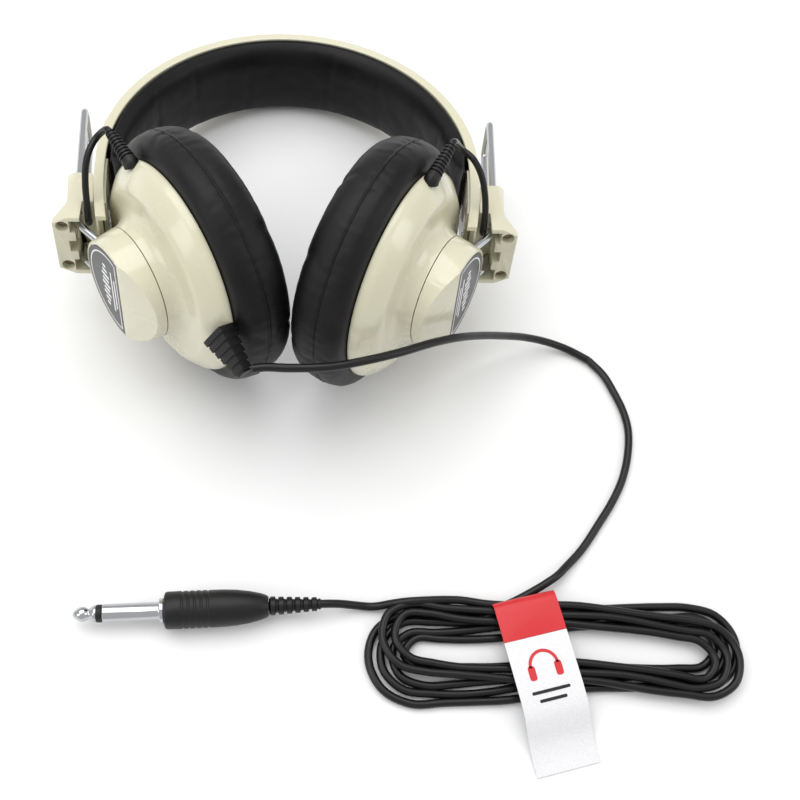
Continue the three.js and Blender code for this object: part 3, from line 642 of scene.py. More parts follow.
def cord_lines():
    drop = smooth_line([floor_point(*p) for p in DROP], CORD_STEP)
    count = TURNS * POINTS_PER_TURN
    hank = [hank_point(FIRST_TURN + (LAST_TURN - FIRST_TURN) * i / count) for i in range(count + 1)]
    run = smooth_line([floor_point(*p) for p in RUN + hank + PLUG_END], CORD_STEP)
    return drop, run


def make_cords():
    drop, run = cord_lines()
    a = tube("main cord, hanging part", drop, CORD_D / 2000, CORD, None, ("main_cord_drop",), 12)
    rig.blend(a, "cup_left", "yoke_left", start=drop[0], end=drop[-1])
    bundled_nodes = ("main_cord_run", "cord_bundle", "plug_cord_run")
    b = tube("main cord, bundled part", run, CORD_D / 2000, CORD, None, bundled_nodes, 12)
    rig.blend(b, "yoke_left", "headset", start=run[0], end=floor_point(97.6, -101.6, 4.4))
    return a, b, drop, run


# ---------------------------------------------------------------- headband
# Outside, the band is half an ellipse above ARC_Y, and its sides draw in slightly below.
BAND_HALF = 70
BAND_RISE = 75
ARC_Y = 43
DRAW_IN = 115
BAND_END_Y = 7.6
BAND_Z = 16
WEB = 2.2
FLANGE = 3.6
FLANGE_INNER_Z = 14.2
# The ends are thinned from inside, up to THIN_TOP.
THIN_TOP = 12
PAD_TIP_Y = 37.5
# The middle of the pad's thickness lies about this far from the arc's centre.
PAD_RADIUS = 66
# Gathers across the pad: how far along it they lie and how deep they are.
GATHERS = (
    (19, 0.35), (31, 0.5), (47, 0.4), (66, 0.3), (88, 0.45), (103, 0.3), (121, 0.4), (142, 0.45), (163, 0.5),
    (176, 0.35), (189, 0.3),
)
GATHER_WIDTH = 1.6


def band_edge(y):
    return BAND_HALF * math.sqrt(1 - ((ARC_Y - y) / DRAW_IN) ** 2)


def band_stations(low, steps_low, steps_arc):
    """Places along the band, from right to left over the crown: a kind, a side, and a y or an angle."""
    out = []
    for i in range(steps_low):
        out.append(("low", 1, low + (ARC_Y - low) * i / steps_low))
    for i in range(steps_arc + 1):
        out.append(("arc", 0, math.pi * i / steps_arc))
    for i in range(steps_low - 1, -1, -1):
        out.append(("low", -1, low + (ARC_Y - low) * i / steps_low))
    return out


def band_point(station, inset, z):
    kind, side, value = station
    if kind == "low":
        return head(side * (band_edge(value) - inset), value, z)
    return head((BAND_HALF - inset) * math.cos(value), ARC_Y + (BAND_RISE - inset) * math.sin(value), z)


def make_band():
    rows = []
    for st in band_stations(BAND_END_Y, 30, 150):
        web = WEB
        if st[0] == "low" and st[2] < THIN_TOP:
            cut = 65.9 - max(0.0, (st[2] - 8.2) / 3.8) * 1.7
            web = max(0.5, min(WEB, band_edge(st[2]) - cut))
        corners = [
            (0, -BAND_Z), (0, BAND_Z), (FLANGE, BAND_Z), (FLANGE, FLANGE_INNER_Z),
            (web, 14.0), (web, -14.0), (FLANGE, -FLANGE_INNER_Z), (FLANGE, -BAND_Z),
        ]
        section = rounded(corners, 0.45, 3)
        rows.append([band_point(st, i, z) for i, z in section])
    verts, faces = grid(rows)
    make("headband shell", verts, faces, IVORY, "headset", ("headband_shell",), 38)


def pad_ring(station, along, from_tip):
    """The pad's section at a station: a crowned front, a thin welt along each edge, and a flat back."""
    grow = min(1.0, from_tip / 12)
    grow = grow * grow * (3 - 2 * grow)
    back = 4.9 - 0.5 * min(1.0, max(0.0, (from_tip - 5) / 5))
    front = back + 1.4 + 4.5 * grow
    half = 14.9 + 0.9 * grow
    gather = sum(depth * math.exp(-(((along - place) / GATHER_WIDTH) ** 2)) for place, depth in GATHERS)
    ring = []
    n = 26
    for k in range(n + 1):
        v = -1 + 2 * k / n
        crown = (1 - abs(v) ** 3.2) ** 0.5 if abs(v) < 1 else 0
        depth = (front - back - 0.9) * crown + 0.9
        wrinkle = gather * (0.6 + 0.4 * math.cos(v * 2.2 + along)) * crown
        ripple = 0.22 * noise.noise(Vector((along / 6.0, v * 3.0, 2.0))) * crown * grow
        ring.append(band_point(station, back + depth - wrinkle + ripple, v * half))
    welt = [(back + 1.0, half + 0.25), (back + 0.45, half + 0.35), (back + 0.1, half - 0.1), (back, half - 1.2)]
    ring += [band_point(station, inset, z) for inset, z in welt]
    ring += [band_point(station, inset, -z) for inset, z in reversed(welt)]
    return ring


def make_pad():
    rows = []
    stations = band_stations(PAD_TIP_Y, 14, 220)
    for i, st in enumerate(stations):
        if st[0] == "low":
            from_tip = st[2] - PAD_TIP_Y
        else:
            from_tip = ARC_Y - PAD_TIP_Y + PAD_RADIUS * min(st[2], math.pi - st[2])
        rows.append(pad_ring(st, PAD_RADIUS * math.pi * i / len(stations), from_tip))
    verts, faces = grid(rows)
    pad = make("headband pad", verts, faces, VINYL, "headset", ("headband_pad",), 50)
    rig.padded(pad, fill=0.7)


def make_pad_rivets():
    """A small metal rivet holds each end of the pad's cover."""
    head_profile = [(1.1, 0.2), (1.7, 0.35), (1.75, 0.6), (1.35, 0.95), (0.7, 1.1), (0, 1.15)]
    for name, side in SIDES:
        foot = Vector((side * 63.9, 40.4, 0))
        out = Vector((-side * 0.93, -0.36, 0)).normalized()
        across = Vector((-out.y, out.x, 0))

        def at(u, v, h, foot=foot, across=across, out=out):
            return head(*(foot + across * u + Vector((0, 0, v)) + out * h))

        profile = [(0, -0.6), (1.1, -0.6)] + head_profile
        revolve(f"pad rivet {name}", profile, at, SCREW, "headset", segments=28)


# ---------------------------------------------------------------- yokes
# Each leg goes from the pivot out to the knee and then up, leaning by SLOPE.
PIVOT = {"left": (63.85, 1.3), "right": (63.85, 2.2)}
KNEE = (74.4, 12.2)
SLOPE = 4.2 / 62.8
YOKE_LENGTH = 62.8
YOKE_LEG_Z = 8.3
YOKE_HOOK_Z = 1.8
YOKE_BEND = 3.2
YOKE_RADIUS = 0.0014


def bent_line(points, radius, steps=8):
    """The points' line with its corners rounded."""
    out = [Vector(points[0])]
    for a, p, b in zip(points, points[1:], points[2:]):
        a, p, b = Vector(a), Vector(p), Vector(b)
        reach = min(radius, (a - p).length * 0.45, (b - p).length * 0.45)
        s, e = p + (a - p).normalized() * reach, p + (b - p).normalized() * reach
        out += [s.lerp(p, k / steps).lerp(p.lerp(e, k / steps), k / steps) for k in range(steps + 1)]
    out.append(Vector(points[-1]))
    return out


def make_yokes():
    for name, side in SIDES:
        x, y = PIVOT[name]
        # The right yoke stands a little further out of its block than the left one.
        out = y - PIVOT["left"][1]
        knee = (side * (KNEE[0] + out * SLOPE), KNEE[1] + out)
        tip = (knee[0] + side * YOKE_LENGTH * SLOPE, knee[1] + YOKE_LENGTH)
        leg = [(side * x, y), knee, tip]
        up = [(a, b, YOKE_LEG_Z) for a, b in leg]
        down = [(a, b, -YOKE_LEG_Z) for a, b in reversed(leg)]
        line = [(side * x, y, YOKE_HOOK_Z)] + up + down + [(side * x, y, -YOKE_HOOK_Z)]
        points = [head(*p) for p in bent_line(line, YOKE_BEND)]
        tube(f"wire yoke {name}", points, YOKE_RADIUS, CHROME, f"yoke_{name}", (f"wire_yoke_{name}",), 20)


# ---------------------------------------------------------------- ear cups
# How far each cup is turned in, and where its pivot lies in its own frame.
TOE = {"left": math.radians(33.8), "right": math.radians(29.6)}
PIVOT_H = 19.5
PIVOT_BACK = 14.4


def cup_frame(name):
    """A function from a cup's own u (near), v and h (out of the shell), in millimetres, to the row frame."""
    side = -1 if name == "left" else 1
    toe = TOE[name]
    out = Vector((side * math.cos(toe), -math.sin(toe), 0))
    near = Vector((-side * math.sin(toe), -math.cos(toe), 0))
    third = out.cross(near)
    x, y = PIVOT[name]
    centre = Vector((side * x, y, 0)) - out * PIVOT_H + near * PIVOT_BACK

    def at(u, v, h):
        p = centre + near * u + third * v + out * h
        return head(*p)

    return at


def spline_profile(points, steps=4):
    """A smooth profile through the points."""
    out = []
    p = extended(points)
    for i in range(1, len(p) - 2):
        a, b, c, d = p[i - 1 : i + 3]
        for k in range(steps):
            t = k / steps
            square = 2 * a - 5 * b + 4 * c - d
            cube = 3 * b - a - 3 * c + d
            out.append(0.5 * ((2 * b) + (c - a) * t + square * t * t + cube * t ** 3))
    out.append(p[-2])
    return [(q.x, q.y) for q in out]


# Profiles of radius and height, in millimetres.
SHELL_OUT = [
    (39.3, 0), (39.35, 0.8), (38.9, 2.3), (37.6, 4.1), (34.2, 7.0), (32.4, 8.15), (30.6, 8.6), (27, 8.9),
    (24.6, 9.4),
    (22.6, 10.6), (21.3, 12.3), (20.7, 13.8), (20.5, 14.75),
]
SHELL_IN = [(18.6, 14.8), (19.3, 10.6), (22.2, 8), (30.4, 6.4), (35.2, 3.8), (37.3, 0)]


def make_shell(name):
    profile = spline_profile(SHELL_OUT, 5) + spline_profile(SHELL_IN, 2)
    stands_for = (f"cup_shell_{name}",)
    revolve(f"cup shell {name}", profile, cup_frame(name), IVORY, f"cup_{name}", stands_for, 144, smooth=40)


def bake(obj):
    """The object's modifiers become its mesh."""
    bpy.context.view_layer.update()
    graph = bpy.context.evaluated_depsgraph_get()
    mesh = bpy.data.meshes.new_from_object(obj.evaluated_get(graph))
    obj.modifiers.clear()
    obj.data = mesh


def cut(obj, cutter):
    m = obj.modifiers.new("cut", "BOOLEAN")
    m.operation = "DIFFERENCE"
    m.solver = "EXACT"
    m.object = cutter
    bake(obj)
    bpy.data.objects.remove(cutter)


def loose(verts, faces):
    """An object for cutting with or into, which isn't a piece."""
    obj = bpy.data.objects.new("tool", clean_mesh("tool", verts, faces))
    bpy.context.scene.collection.objects.link(obj)
    return obj


def block(at, u, v, low, high):
    """A box in a cup's frame, from low to high. low is a function of u, or a number."""
    base = low if callable(low) else lambda x: low
    verts = []
    for a in u:
        for b in v:
            verts += [at(a, b, base(a)), at(a, b, high)]
    faces = [(0, 1, 3, 2), (4, 6, 7, 5), (0, 4, 5, 1), (2, 3, 7, 6), (0, 2, 6, 4), (1, 5, 7, 3)]
    return loose(verts, faces)


def lathe_tool(at, profile, segments):
    return loose(*lathe(profile, at, segments))


HUB_TOP = 24.3
HUB_WALL = 2.2
FACET = math.tan(math.radians(22))
FACET_START = 5.7
LABEL_FLOOR = 23.6
# Cutting boxes reach past the hub by this much each way.
PAST = 40
SLOT_U = (-25, -11)
SLOT_HALF = 2.1
SLOT_H = (16.6, 23.4)


def make_hub(name):
    at = cup_frame(name)
    outside = [
        (0, 15.1), (20.45, 15.1), (20.45, 15.6), (19.15, 23.5), (18.9, 24.1), (18.5, HUB_TOP), (0, HUB_TOP),
    ]
    drum = lathe_tool(at, outside, 128)
    beyond = (FACET_START, PAST)
    cut(drum, block(at, beyond, (-30, 30), lambda u: HUB_TOP - FACET * (u - FACET_START), 60))
    ceiling = HUB_TOP - HUB_WALL
    hollow = lathe_tool(at, [(0, 14), (18.5, 14), (17.2, ceiling), (0, ceiling)], 64)
    cut(hollow, block(at, beyond, (-30, 30), lambda u: ceiling - FACET * (u - FACET_START), 60))
    cut(drum, hollow)
    recess = lathe_tool(at, [(0, LABEL_FLOOR), (17.9, LABEL_FLOOR), (17.9, 26), (0, 26)], 128)
    cut(recess, block(at, (5.0, PAST), (-30, 30), 0, 60))
    cut(drum, recess)
    for v in (-YOKE_LEG_Z, YOKE_LEG_Z):
        cut(drum, block(at, SLOT_U, (v - SLOT_HALF, v + SLOT_HALF), *SLOT_H))
    m = drum.modifiers.new("edges", "BEVEL")
    m.width = 0.00028
    m.segments = 3
    m.limit_method = "ANGLE"
    m.angle_limit = math.radians(28)
    bake(drum)
    mesh = drum.data
    bpy.data.objects.remove(drum)
    place(f"hub cap {name}", mesh, IVORY, f"cup_{name}", (f"hub_cap_{name}",), 30)


def label_outline(radius, flat, count=72):
    """A disc with one straight side, as points in u and v."""
    a0 = math.acos(flat / radius)
    points = []
    for k in range(count + 1):
        a = a0 + (2 * math.pi - 2 * a0) * k / count
        points.append((radius * math.cos(a), radius * math.sin(a)))
    return points


def plate(name, outline, at, low, high, material, body, stands_for=()):
    """A flat piece with an outline in u and v, from low to high."""
    n = len(outline)
    verts = [at(u, v, low) for u, v in outline] + [at(u, v, high) for u, v in outline]
    faces = [tuple(range(n))[::-1], tuple(range(n, 2 * n))]
    faces += [(k, (k + 1) % n, n + (k + 1) % n, n + k) for k in range(n)]
    return make(name, verts, faces, material, body, stands_for, 30)


def ribbon(name, line, width, at, low, high, material, body, closed=True):
    """A thin raised line along points in u and v."""
    n = len(line)
    inner, outer = [], []
    for i, p in enumerate(line):
        a = Vector(line[i - 1]) if closed or i else Vector(p)
        b = Vector(line[(i + 1) % n]) if closed or i < n - 1 else Vector(p)
        d = (b - a).normalized()
        side = Vector((-d.y, d.x)) * width / 2
        inner.append(Vector(p) - side)
        outer.append(Vector(p) + side)
    rows = []
    for q, r in zip(inner, outer):
        rows.append([at(q.x, q.y, low), at(r.x, r.y, low), at(r.x, r.y, high), at(q.x, q.y, high)])
    verts, faces = grid(rows, close_rows=closed, close_columns=True, caps=not closed)
    return make(name, verts, faces, material, body, (), 30)


def bar_outline(u, v, half_u, half_v):
    """A bar with rounded ends."""
    low_u, high_u, low_v, high_v = u - half_u, u + half_u, v - half_v, v + half_v
    corners = [(low_u, low_v), (high_u, low_v), (high_u, high_v), (low_u, high_v)]
    return rounded(corners, min(half_u, half_v), 5)


LABEL_TOP = 24.32
PRINT_BOTTOM = 24.30
PRINT_TOP = 24.37
BAR_HEIGHTS = (1.2, 2.4, 3.9, 2.9, 4.6, 3.3, 4.1, 2.1, 1.2)
BAR_PITCH = 2.3


def make_label(name):
    """A dark foil with a pale border line, and a plain pattern of bars and two rules."""
    at = cup_frame(name)
    body = f"cup_{name}"
    stands_for = (f"hub_label_{name}",)
    plate(f"hub label {name}", label_outline(17.55, 4.7), at, 23.65, LABEL_TOP, LABEL, body, stands_for)
    ribbon(f"label border {name}", label_outline(15.8, 3.3), 0.55, at, PRINT_BOTTOM, PRINT_TOP, PRINT, body)
    up = 1 if name == "left" else -1
    for i, tall in enumerate(BAR_HEIGHTS):
        outline = bar_outline(-5.0, (i - 4) * BAR_PITCH * up, tall / 2 + 0.5, 0.62)
        plate(f"label bar {i} {name}", outline, at, PRINT_BOTTOM, PRINT_TOP, PRINT, body)
    for i, (u, half) in enumerate(((-0.5, 9.6), (1.4, 7.0))):
        plate(f"label rule {i} {name}", bar_outline(u, 0, 0.42, half), at, PRINT_BOTTOM, PRINT_TOP, PRINT, body)


# The ring's section, from its foot inside, over the face, to the outer seam and back to the shell.
CUSHION = [
    (29.5, -3.2), (26.6, -4.0), (25.3, -6.0), (24.9, -9.5), (25.2, -14.0), (26.6, -18.0), (29.6, -20.6),
    (34.6, -21.8),
    (39.6, -21.4), (43.2, -19.8), (45.4, -16.8), (46.4, -12.6),
    (46.5, -10.2), (46.75, -9.8), (46.8, -9.4), (46.45, -9.1), (46.55, -8.8),
    (46.45, -6.8), (45.7, -4.0), (43.7, -1.6), (41.0, -0.45), (36.0, -0.4), (31.5, -0.6),
]
SEAM_H = -9.4
# Creases across the face: their angle, width in radians and depth.
CREASES = [
    (0.2, 0.035, 1.0), (0.9, 0.05, 0.6), (1.7, 0.03, 0.8), (2.4, 0.06, 0.7),
    (3.3, 0.035, 1.0), (4.1, 0.05, 0.6), (5.2, 0.04, 0.9), (5.8, 0.05, 0.5),
]
# Below this height, in metres, a cushion is pressed against the table.
PRESS_HEIGHT = 0.0035
SEEDS = {"left": 3.0, "right": 11.0}


def ramp(value, start, width):
    """Runs from 0 to 1 as value goes from start over width."""
    return max(0.0, min(1.0, (value - start) / width))


def puffed(r, h, a, seed):
    """Moves a point of a cushion: slow swelling, gathers inside the ring, puckers at the seam, and creases."""
    inner = ramp(31 - r, 0, 6)
    outer = ramp(r, 43, 3) * ramp(-h, 1.5, 3)
    face = ramp(-h, 12, 6)
    fold = noise.noise(Vector((math.cos(a) * 5.5, math.sin(a) * 5.5, seed)))
    fine = noise.noise(Vector((math.cos(a) * 16, math.sin(a) * 16, seed + h * 0.06)))
    slow = noise.noise(Vector((math.cos(a) * 1.6, math.sin(a) * 1.6, seed + 7)))
    pucker = abs(math.sin(a * 31 + 2.0 * fold + seed)) ** 6
    near_seam = math.exp(-(((h - SEAM_H) / 2.8) ** 2)) * outer
    creases = 0.0
    for angle, wide, deep in CREASES:
        turn = math.atan2(math.sin(a - angle - seed), math.cos(a - angle - seed))
        lean = turn - 0.05 * math.sin(h * 0.5 + angle)
        creases += deep * math.exp(-((lean / wide) ** 2))
    dr = 0.45 * fold * inner + 0.24 * fine * (inner + 0.8 * outer) + 0.30 * slow - 0.20 * pucker * near_seam
    dr -= 0.30 * creases * (inner + outer)
    dh = 0.45 * slow + 0.2 * fine * inner + 0.55 * creases * face + 0.12 * fine * face
    return r + dr, h + (dh if h < -4 else 0)


def make_cushion(name):
    seed = SEEDS[name]
    profile = spline_profile(CUSHION, 4)
    shift = lambda r, h, a: puffed(r, h, a, seed)
    stands_for = (f"ear_cushion_{name}",)
    cushion = revolve(
        f"ear cushion {name}", profile, cup_frame(name), VINYL, f"cup_{name}", stands_for, 340, shift, 60
    )
    # The ring is pressed flat where it stands on the table, and bulges a little just above.
    for v in cushion.data.vertices:
        if v.co.z < PRESS_HEIGHT:
            press = PRESS_HEIGHT - v.co.z
            v.co.z = 0.00012 + max(0.0, PRESS_HEIGHT * math.exp(-press / PRESS_HEIGHT) - 0.0012)
    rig.padded(cushion, fill=0.75)


def make_foam_disc(name):
    profile = [
        (0, -2.2), (8, -2.3), (16, -2.6), (24, -2.9), (28.6, -3.0), (28.9, -2.6), (28.9, -0.35), (0, -0.35),
    ]
    revolve(f"driver foam {name}", profile, cup_frame(name), FOAM, f"cup_{name}", (f"driver_foam_{name}",), 72)


# ---------------------------------------------------------------- strain reliefs and link cords
LINK_RADIUS = 0.0012
LINK_ANGLE = {"left": math.radians(121), "right": math.radians(-106)}
LINK_FOOT_H = 3.2
LINK_END = {"left": (-33.2, 37.6, 3.6), "right": (-24.8, -42.6, 3.4)}
LINK_RIBS = 10
LINK_ROUTE = {
    "left": [
        (-66.2, 29.2, 33.2), (-68.6, 25.0, 31.0), (-69.9, 20.8, 27.5), (-70.3, 17.2, 22), (-70.2, 14.4, 16),
        (-70.2, 13.0, 11), (-70.4, 13.4, 7.4), (-70.8, 16.8, 5.1),
    ],
    "right": [
        (61.0, 29.4, 32.6), (64.6, 26.6, 31.2), (67.8, 22.6, 27.4), (69.6, 18.6, 21.5), (70.2, 15.4, 16),
        (70.2, 13.6, 11), (70.4, 13.8, 7.4), (70.8, 16.8, 5.1),
    ],
}


def link_sleeve_radius(t):
    """In metres, at a share t of the way to the cord: thinner towards the cord, with a step at each rib."""
    rib = 1.0 if t <= 0.1 or (t * LINK_RIBS) % 1.0 < 0.6 else 0.80
    return (2.8 - 1.0 * t) * rib / 1000


def make_link(name):
    at = cup_frame(name)
    angle = LINK_ANGLE[name]
    foot = at(37.6 * math.cos(angle), 37.6 * math.sin(angle), LINK_FOOT_H)
    edge = at(39.2 * math.cos(angle), 39.2 * math.sin(angle), LINK_FOOT_H)
    end = at(*LINK_END[name])
    out = (end - edge).normalized()
    count = 100
    points = [foot.lerp(edge, 0.2)] + [edge.lerp(end, i / count) for i in range(count + 1)]
    stands_for = (f"link_relief_{name}",)
    tube(f"link relief {name}", points, link_sleeve_radius, RUBBER, f"cup_{name}", stands_for, 24)
    route = [end - out * 0.0006, end + out * 0.0016] + [head(*p) for p in LINK_ROUTE[name]]
    line = smooth_line(route, LINK_RADIUS)
    # The outer half follows the cup, and the inner half stays with the end block.
    middle = len(line) // 2
    stands_for = (f"link_cord_{name}",)
    a = tube(f"link cord {name}, cup half", line[: middle + 1], LINK_RADIUS, CORD, None, stands_for, 14)
    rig.blend(a, f"cup_{name}", f"yoke_{name}", start=line[0], end=line[middle])
    b = tube(f"link cord {name}, block half", line[middle:], LINK_RADIUS, CORD, None, (), 14)
    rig.blend(b, f"yoke_{name}", "headset", start=line[middle], end=line[-8])


# The main cord's relief, in the left cup's frame: its foot, its end, and how far it is rolled, in degrees.
RELIEF_FOOT = (33.5, 5.5, 5.2)
RELIEF_END = (53.2, -2.4, 4.6)
RELIEF_TURN = -24
RELIEF_RIBS = 6
RELIEF_PITCH = 2.75


def make_main_relief():
    """The main cord's moulded relief: slats over a core, flat-sided and thinner towards the cord."""
    at = cup_frame("left")
    foot, end = Vector(RELIEF_FOOT), Vector(RELIEF_END)
    along = (end - foot).normalized()
    across = Vector((0, 0, 1)).cross(along).normalized()
    lift = along.cross(across)
    turn = math.radians(RELIEF_TURN)
    rolled = across * math.cos(turn) + lift * math.sin(turn)
    lift = lift * math.cos(turn) - across * math.sin(turn)
    length = (end - foot).length

    def section(z, w, t, radius=0.7):
        ring = rounded([(-w, -t), (w, -t), (w, t), (-w, t)], radius, 3)
        return [at(*(foot + rolled * a + lift * b + along * z)) for a, b in ring]

    rows = [section(4.2, 4.6, 3.3)]
    for i in range(RELIEF_RIBS):
        z = 4.4 + i * RELIEF_PITCH
        w, t = 5.2 - i * 0.50, 3.9 - i * 0.28
        core_w, core_t = w - 0.55, t - 0.55
        rows += [section(z, core_w, core_t), section(z + 0.1, w, t), section(z + 2.05, w - 0.1, t - 0.1)]
        rows += [section(z + 2.15, core_w, core_t), section(z + 2.7, core_w - 0.1, core_t - 0.1)]
    rows.append(section(length - 0.6, 2.1, 1.9, 1.0))
    rows.append(section(length - 0.05, 1.9, 1.7, 1.0))
    verts, faces = grid(rows)
    make("main cord relief", verts, faces, RUBBER, "cup_left", ("main_cord_relief",), 30)


# ---------------------------------------------------------------- plug
PLUG_PLACE = Vector((-72.3, -114.9, 6.65))
PLUG_HEADING = math.radians(2.45)


def plug_point(u, v, h):
    """A point at h along the plug from its tip, and u and v off its axis, in millimetres."""
    along = Vector((math.cos(PLUG_HEADING), math.sin(PLUG_HEADING), 0))
    across = Vector((-math.sin(PLUG_HEADING), math.cos(PLUG_HEADING), 0))
    return floor_point(*(PLUG_PLACE + across * u + Vector((0, 0, v)) + along * h))


def plug_part(name, profile, material, segments=64):
    stands_for = (name.replace(" ", "_"),)
    return revolve(name, profile, plug_point, material, "headset", stands_for, segments, smooth=32)


def make_plug():
    tip = [
        (0, 0), (0.7, 0.15), (1.5, 0.9), (2.35, 2.2), (2.62, 3.2), (2.45, 4.3), (1.95, 5.2), (1.9, 5.7),
        (2.4, 6.5), (2.9, 7.3), (2.95, 8.0),
    ]
    insulator = [(0, 8.2), (3.0, 8.2), (3.06, 8.4), (3.06, 9.8), (3.0, 10.0), (0, 10.0)]
    sleeve = [
        (0, 10.2), (3.0, 10.2), (3.17, 10.4), (3.17, 29.2), (3.3, 29.5), (4.2, 29.6), (4.35, 29.8),
        (4.35, 30.8), (4.2, 31.0), (0, 31.0),
    ]
    body = [(0, 31.3), (5.6, 31.3), (6.2, 31.6), (6.5, 32.3), (6.55, 36.0)]
    for i in range(5):
        h = 37 + i * 2.2
        body += [(6.55, h), (6.3, h + 0.35), (6.3, h + 0.75), (6.53, h + 1.1)]
    body += [(6.45, 52.0), (6.2, 56.0), (5.6, 60.5), (4.7, 64.4), (4.0, 66.4), (3.4, 67.2), (0, 67.2)]
    relief = [(0, 67.3), (3.2, 67.3)]
    for i in range(6):
        h, r = 67.9 + i * 2.9, 3.3 - i * 0.17
        relief += [(r - 0.75, h - 0.25), (r, h), (r, h + 1.6), (r - 0.75, h + 1.85)]
    relief += [(2.0, 85.2), (1.75, 85.5), (0, 85.5)]
    return [
        plug_part("plug tip", spline_profile(tip, 4) + [(0, 8.0)], CHROME),
        plug_part("plug insulator", insulator, PLASTIC),
        plug_part("plug sleeve", sleeve, CHROME),
        plug_part("plug body", body, RUBBER, 72),
        plug_part("plug relief", relief, RUBBER, 48),
    ]


# ---------------------------------------------------------------- tag
TAG_PLACE = (87.2, -116.5)
TAG_TURN = math.radians(13)
TAG_HALF = 11.6
# The band's line in y and z, over the far strands and down; and the tail's, level and then down to the table.
TAG_BAND = [(-6.9, 8.5), (-3, 8.7), (2, 8.75), (5.6, 8.5), (7.2, 7.6), (7.9, 6.0), (7.7, 4.4)]
TAG_TAIL = [
    (-7.0, 8.5), (-14, 8.6), (-22, 8.55), (-29, 8.3), (-33.5, 7.4), (-37.5, 5.2), (-42, 2.3), (-47, 0.8),
    (-53, 0.45),
]
TAG_PRINT_BOTTOM = 8.6
TAG_PRINT_TOP = 8.9


def tag_point(x, y, z):
    """A point of the tag's own frame, in millimetres, as a point of the row frame in metres."""
    turned_x = x * math.cos(TAG_TURN) - y * math.sin(TAG_TURN)
    turned_y = x * math.sin(TAG_TURN) + y * math.cos(TAG_TURN)
    return floor_point(TAG_PLACE[0] + turned_x, TAG_PLACE[1] + turned_y, z)


def make_strip(name, line, thick, material, stands_for):
    """A strip of card whose section runs along a line in y and z. It sags slightly at its sides."""
    fine = smooth_line([Vector((0, *p)) for p in line], 1.1)
    across = [-TAG_HALF + 2 * TAG_HALF * k / 10 for k in range(11)]
    rows = []
    for i, p in enumerate(fine):
        a, b = fine[max(i - 1, 0)], fine[min(i + 1, len(fine) - 1)]
        t = (b - a).normalized()
        normal = Vector((0, -t.z, t.y))
        ring = []
        for x, face in [(x, 1) for x in across] + [(-x, -1) for x in across]:
            sag = 0.35 * (x / TAG_HALF) ** 2 * math.sin(i / len(fine) * math.pi)
            q = p + normal * (face * thick / 2 - sag)
            ring.append(tag_point(x, q.y, max(q.z, 0.12)))
        rows.append(ring)
    verts, faces = grid(rows)
    return make(name, verts, faces, material, "headset", stands_for, 40)


def make_tag():
    """The band, its tail, and on the tail a generic headphones pictogram and two plain rules."""
    red = make_strip("tag band", TAG_BAND, 0.35, RED, ("tag_band",))
    white = make_strip("tag tail", TAG_TAIL, 0.30, WHITE, ("tag_tail",))
    bottom, top = TAG_PRINT_BOTTOM, TAG_PRINT_TOP
    angles = [math.pi * k / 24 for k in range(25)]
    arc = [(5.0 * math.cos(a), -17.5 + 5.2 * math.sin(a)) for a in angles]
    ribbon("tag pictogram band", arc, 1.1, tag_point, bottom, top, RED, "headset", closed=False)
    for i, u in enumerate((-4.9, 4.9)):
        outline = bar_outline(u, -19.4, 1.3, 2.6)
        plate(f"tag pictogram cup {i}", outline, tag_point, bottom, top, RED, "headset")
    # The rules lie lower, where the tail has begun to bend down.
    for i, (v, half, rule_top) in enumerate(((-26.2, 7.0, 8.8), (-29.2, 5.0, 8.55))):
        outline = bar_outline(0, v, half, 0.55)
        plate(f"tag rule {i}", outline, tag_point, 8.2, rule_top, PLASTIC, "headset")
    return [red, white]


# ---------------------------------------------------------------- pieces that keep their CAD mesh
def carry_cad():
    """Bevel widths are in millimetres."""
    for name, _ in SIDES:
        carried(f"end_block_{name}", IVORY, 0.35)
        carried(f"clamp_plate_{name}", IVORY, 0.3)
        for where in ("upper", "lower"):
            carried(f"block_screw_{where}_{name}", SCREW, 0.12)
            carried(f"clamp_screw_{where}_{name}", SCREW, 0.12)
        carried(f"yoke_grip_{name}", PLASTIC, 0.2)
        carried(f"swivel_block_{name}", PLASTIC, 0.2)
        carried(f"baffle_{name}", PLASTIC)
        carried(f"driver_basket_{name}", SPRING)
        carried(f"driver_magnet_{name}", SPRING, 0.2)
        carried(f"driver_cone_{name}", FILM)
    carried("headband_spring", SPRING)
    carried("crossover_cord", CORD)


# ---------------------------------------------------------------- floor and light
def area_light(name, place, target, size, power):
    data = bpy.data.lights.new(name, "AREA")
    data.shape = "RECTANGLE"
    data.size, data.size_y = size
    data.energy = power
    light = bpy.data.objects.new(name, data)
    bpy.context.scene.collection.objects.link(light)
    light.location = place
    light.rotation_euler = (Vector(target) - Vector(place)).to_track_quat("-Z", "Y").to_euler()


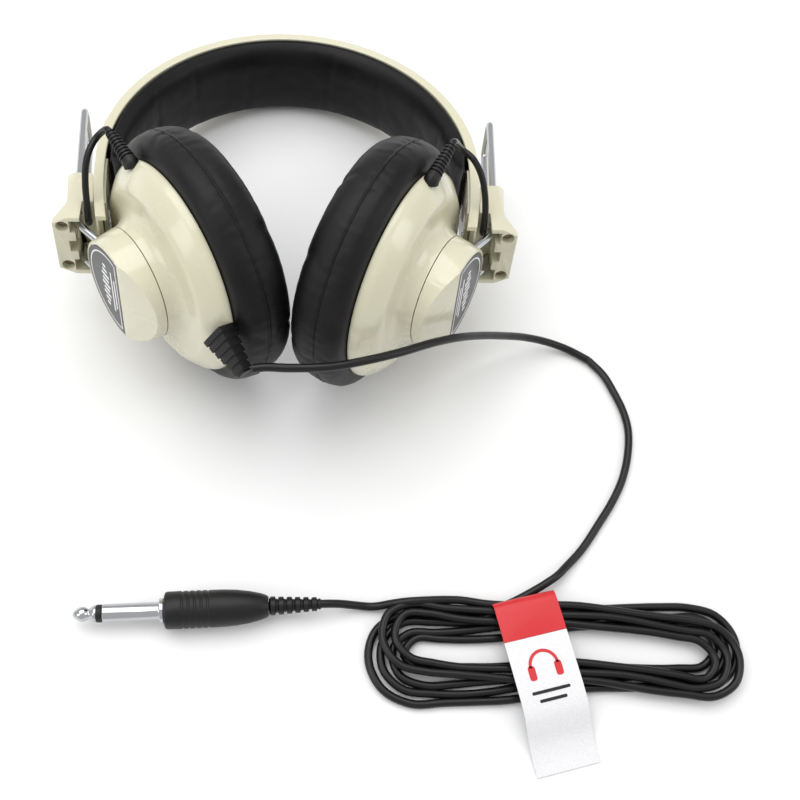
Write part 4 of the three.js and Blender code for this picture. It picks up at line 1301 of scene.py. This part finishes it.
def make_floor():
    mesh = bpy.data.meshes.new("floor")
    mesh.from_pydata([(-6, -6, 0), (6, -6, 0), (6, 6, 0), (-6, 6, 0)], [], [(0, 1, 2, 3)])
    m, n, l, s, c = new_material("floor", "floor", (0.86, 0.86, 0.86), 0.6)
    cloud = noise_node(n, l, c, 6, 2)
    l.new(mapped(n, l, cloud, 0.55, 0.65), s.inputs["Roughness"])
    mesh.materials.append(m)
    floor = bpy.data.objects.new("floor", mesh)
    bpy.context.scene.collection.objects.link(floor)
    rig.stage(floor)


def make_studio():
    make_floor()
    area_light("key above and behind", (-0.25, 0.45, 1.3), (0, 0, 0.03), (1.7, 1.3), 16)
    area_light("fill left", (-1.1, -0.5, 0.8), (0, 0, 0.04), (0.5, 0.9), 3.2)
    area_light("fill right", (1.2, -0.2, 0.8), (0, 0, 0.04), (0.5, 0.9), 3.2)
    world = bpy.data.worlds.new("studio")
    world.use_nodes = True
    background = world.node_tree.nodes["Background"]
    background.inputs["Color"].default_value = (1, 1, 1, 1)
    background.inputs["Strength"].default_value = 0.66
    bpy.context.scene.world = world
    bpy.context.scene.view_settings.view_transform = "Standard"


# ---------------------------------------------------------------- the object
hanging, bundled, drop_line, run_line = make_cords()
make_band()
make_pad()
make_pad_rivets()
make_yokes()
for cup_name, _ in SIDES:
    make_shell(cup_name)
    make_hub(cup_name)
    make_label(cup_name)
    make_cushion(cup_name)
    make_foam_disc(cup_name)
    make_link(cup_name)
make_main_relief()
plug_pieces = make_plug()
tag_pieces = make_tag()
carry_cad()
make_studio()

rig.cord(hanging, exit=drop_line[0], length=line_length(drop_line), diameter=CORD_D / 1000, far_end="object",
        stiffness="medium", lay="hanging", path=drop_line)
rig.cord(bundled, exit=run_line[0], length=line_length(run_line), diameter=CORD_D / 1000, far_end="plug",
        stiffness="medium", lay="coiled", path=run_line, with_pieces=plug_pieces + tag_pieces)
tail_length = line_length([Vector((0, y, z)) for y, z in TAG_TAIL]) / 1000
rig.sheet(tag_pieces[1], flat=(0.0232, tail_length), held="laid", rests_on=[bundled])

with open("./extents.json", "w") as file:
    json.dump([[list(v) for v in CAD_BOX], [list(v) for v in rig.bounds()]], file)
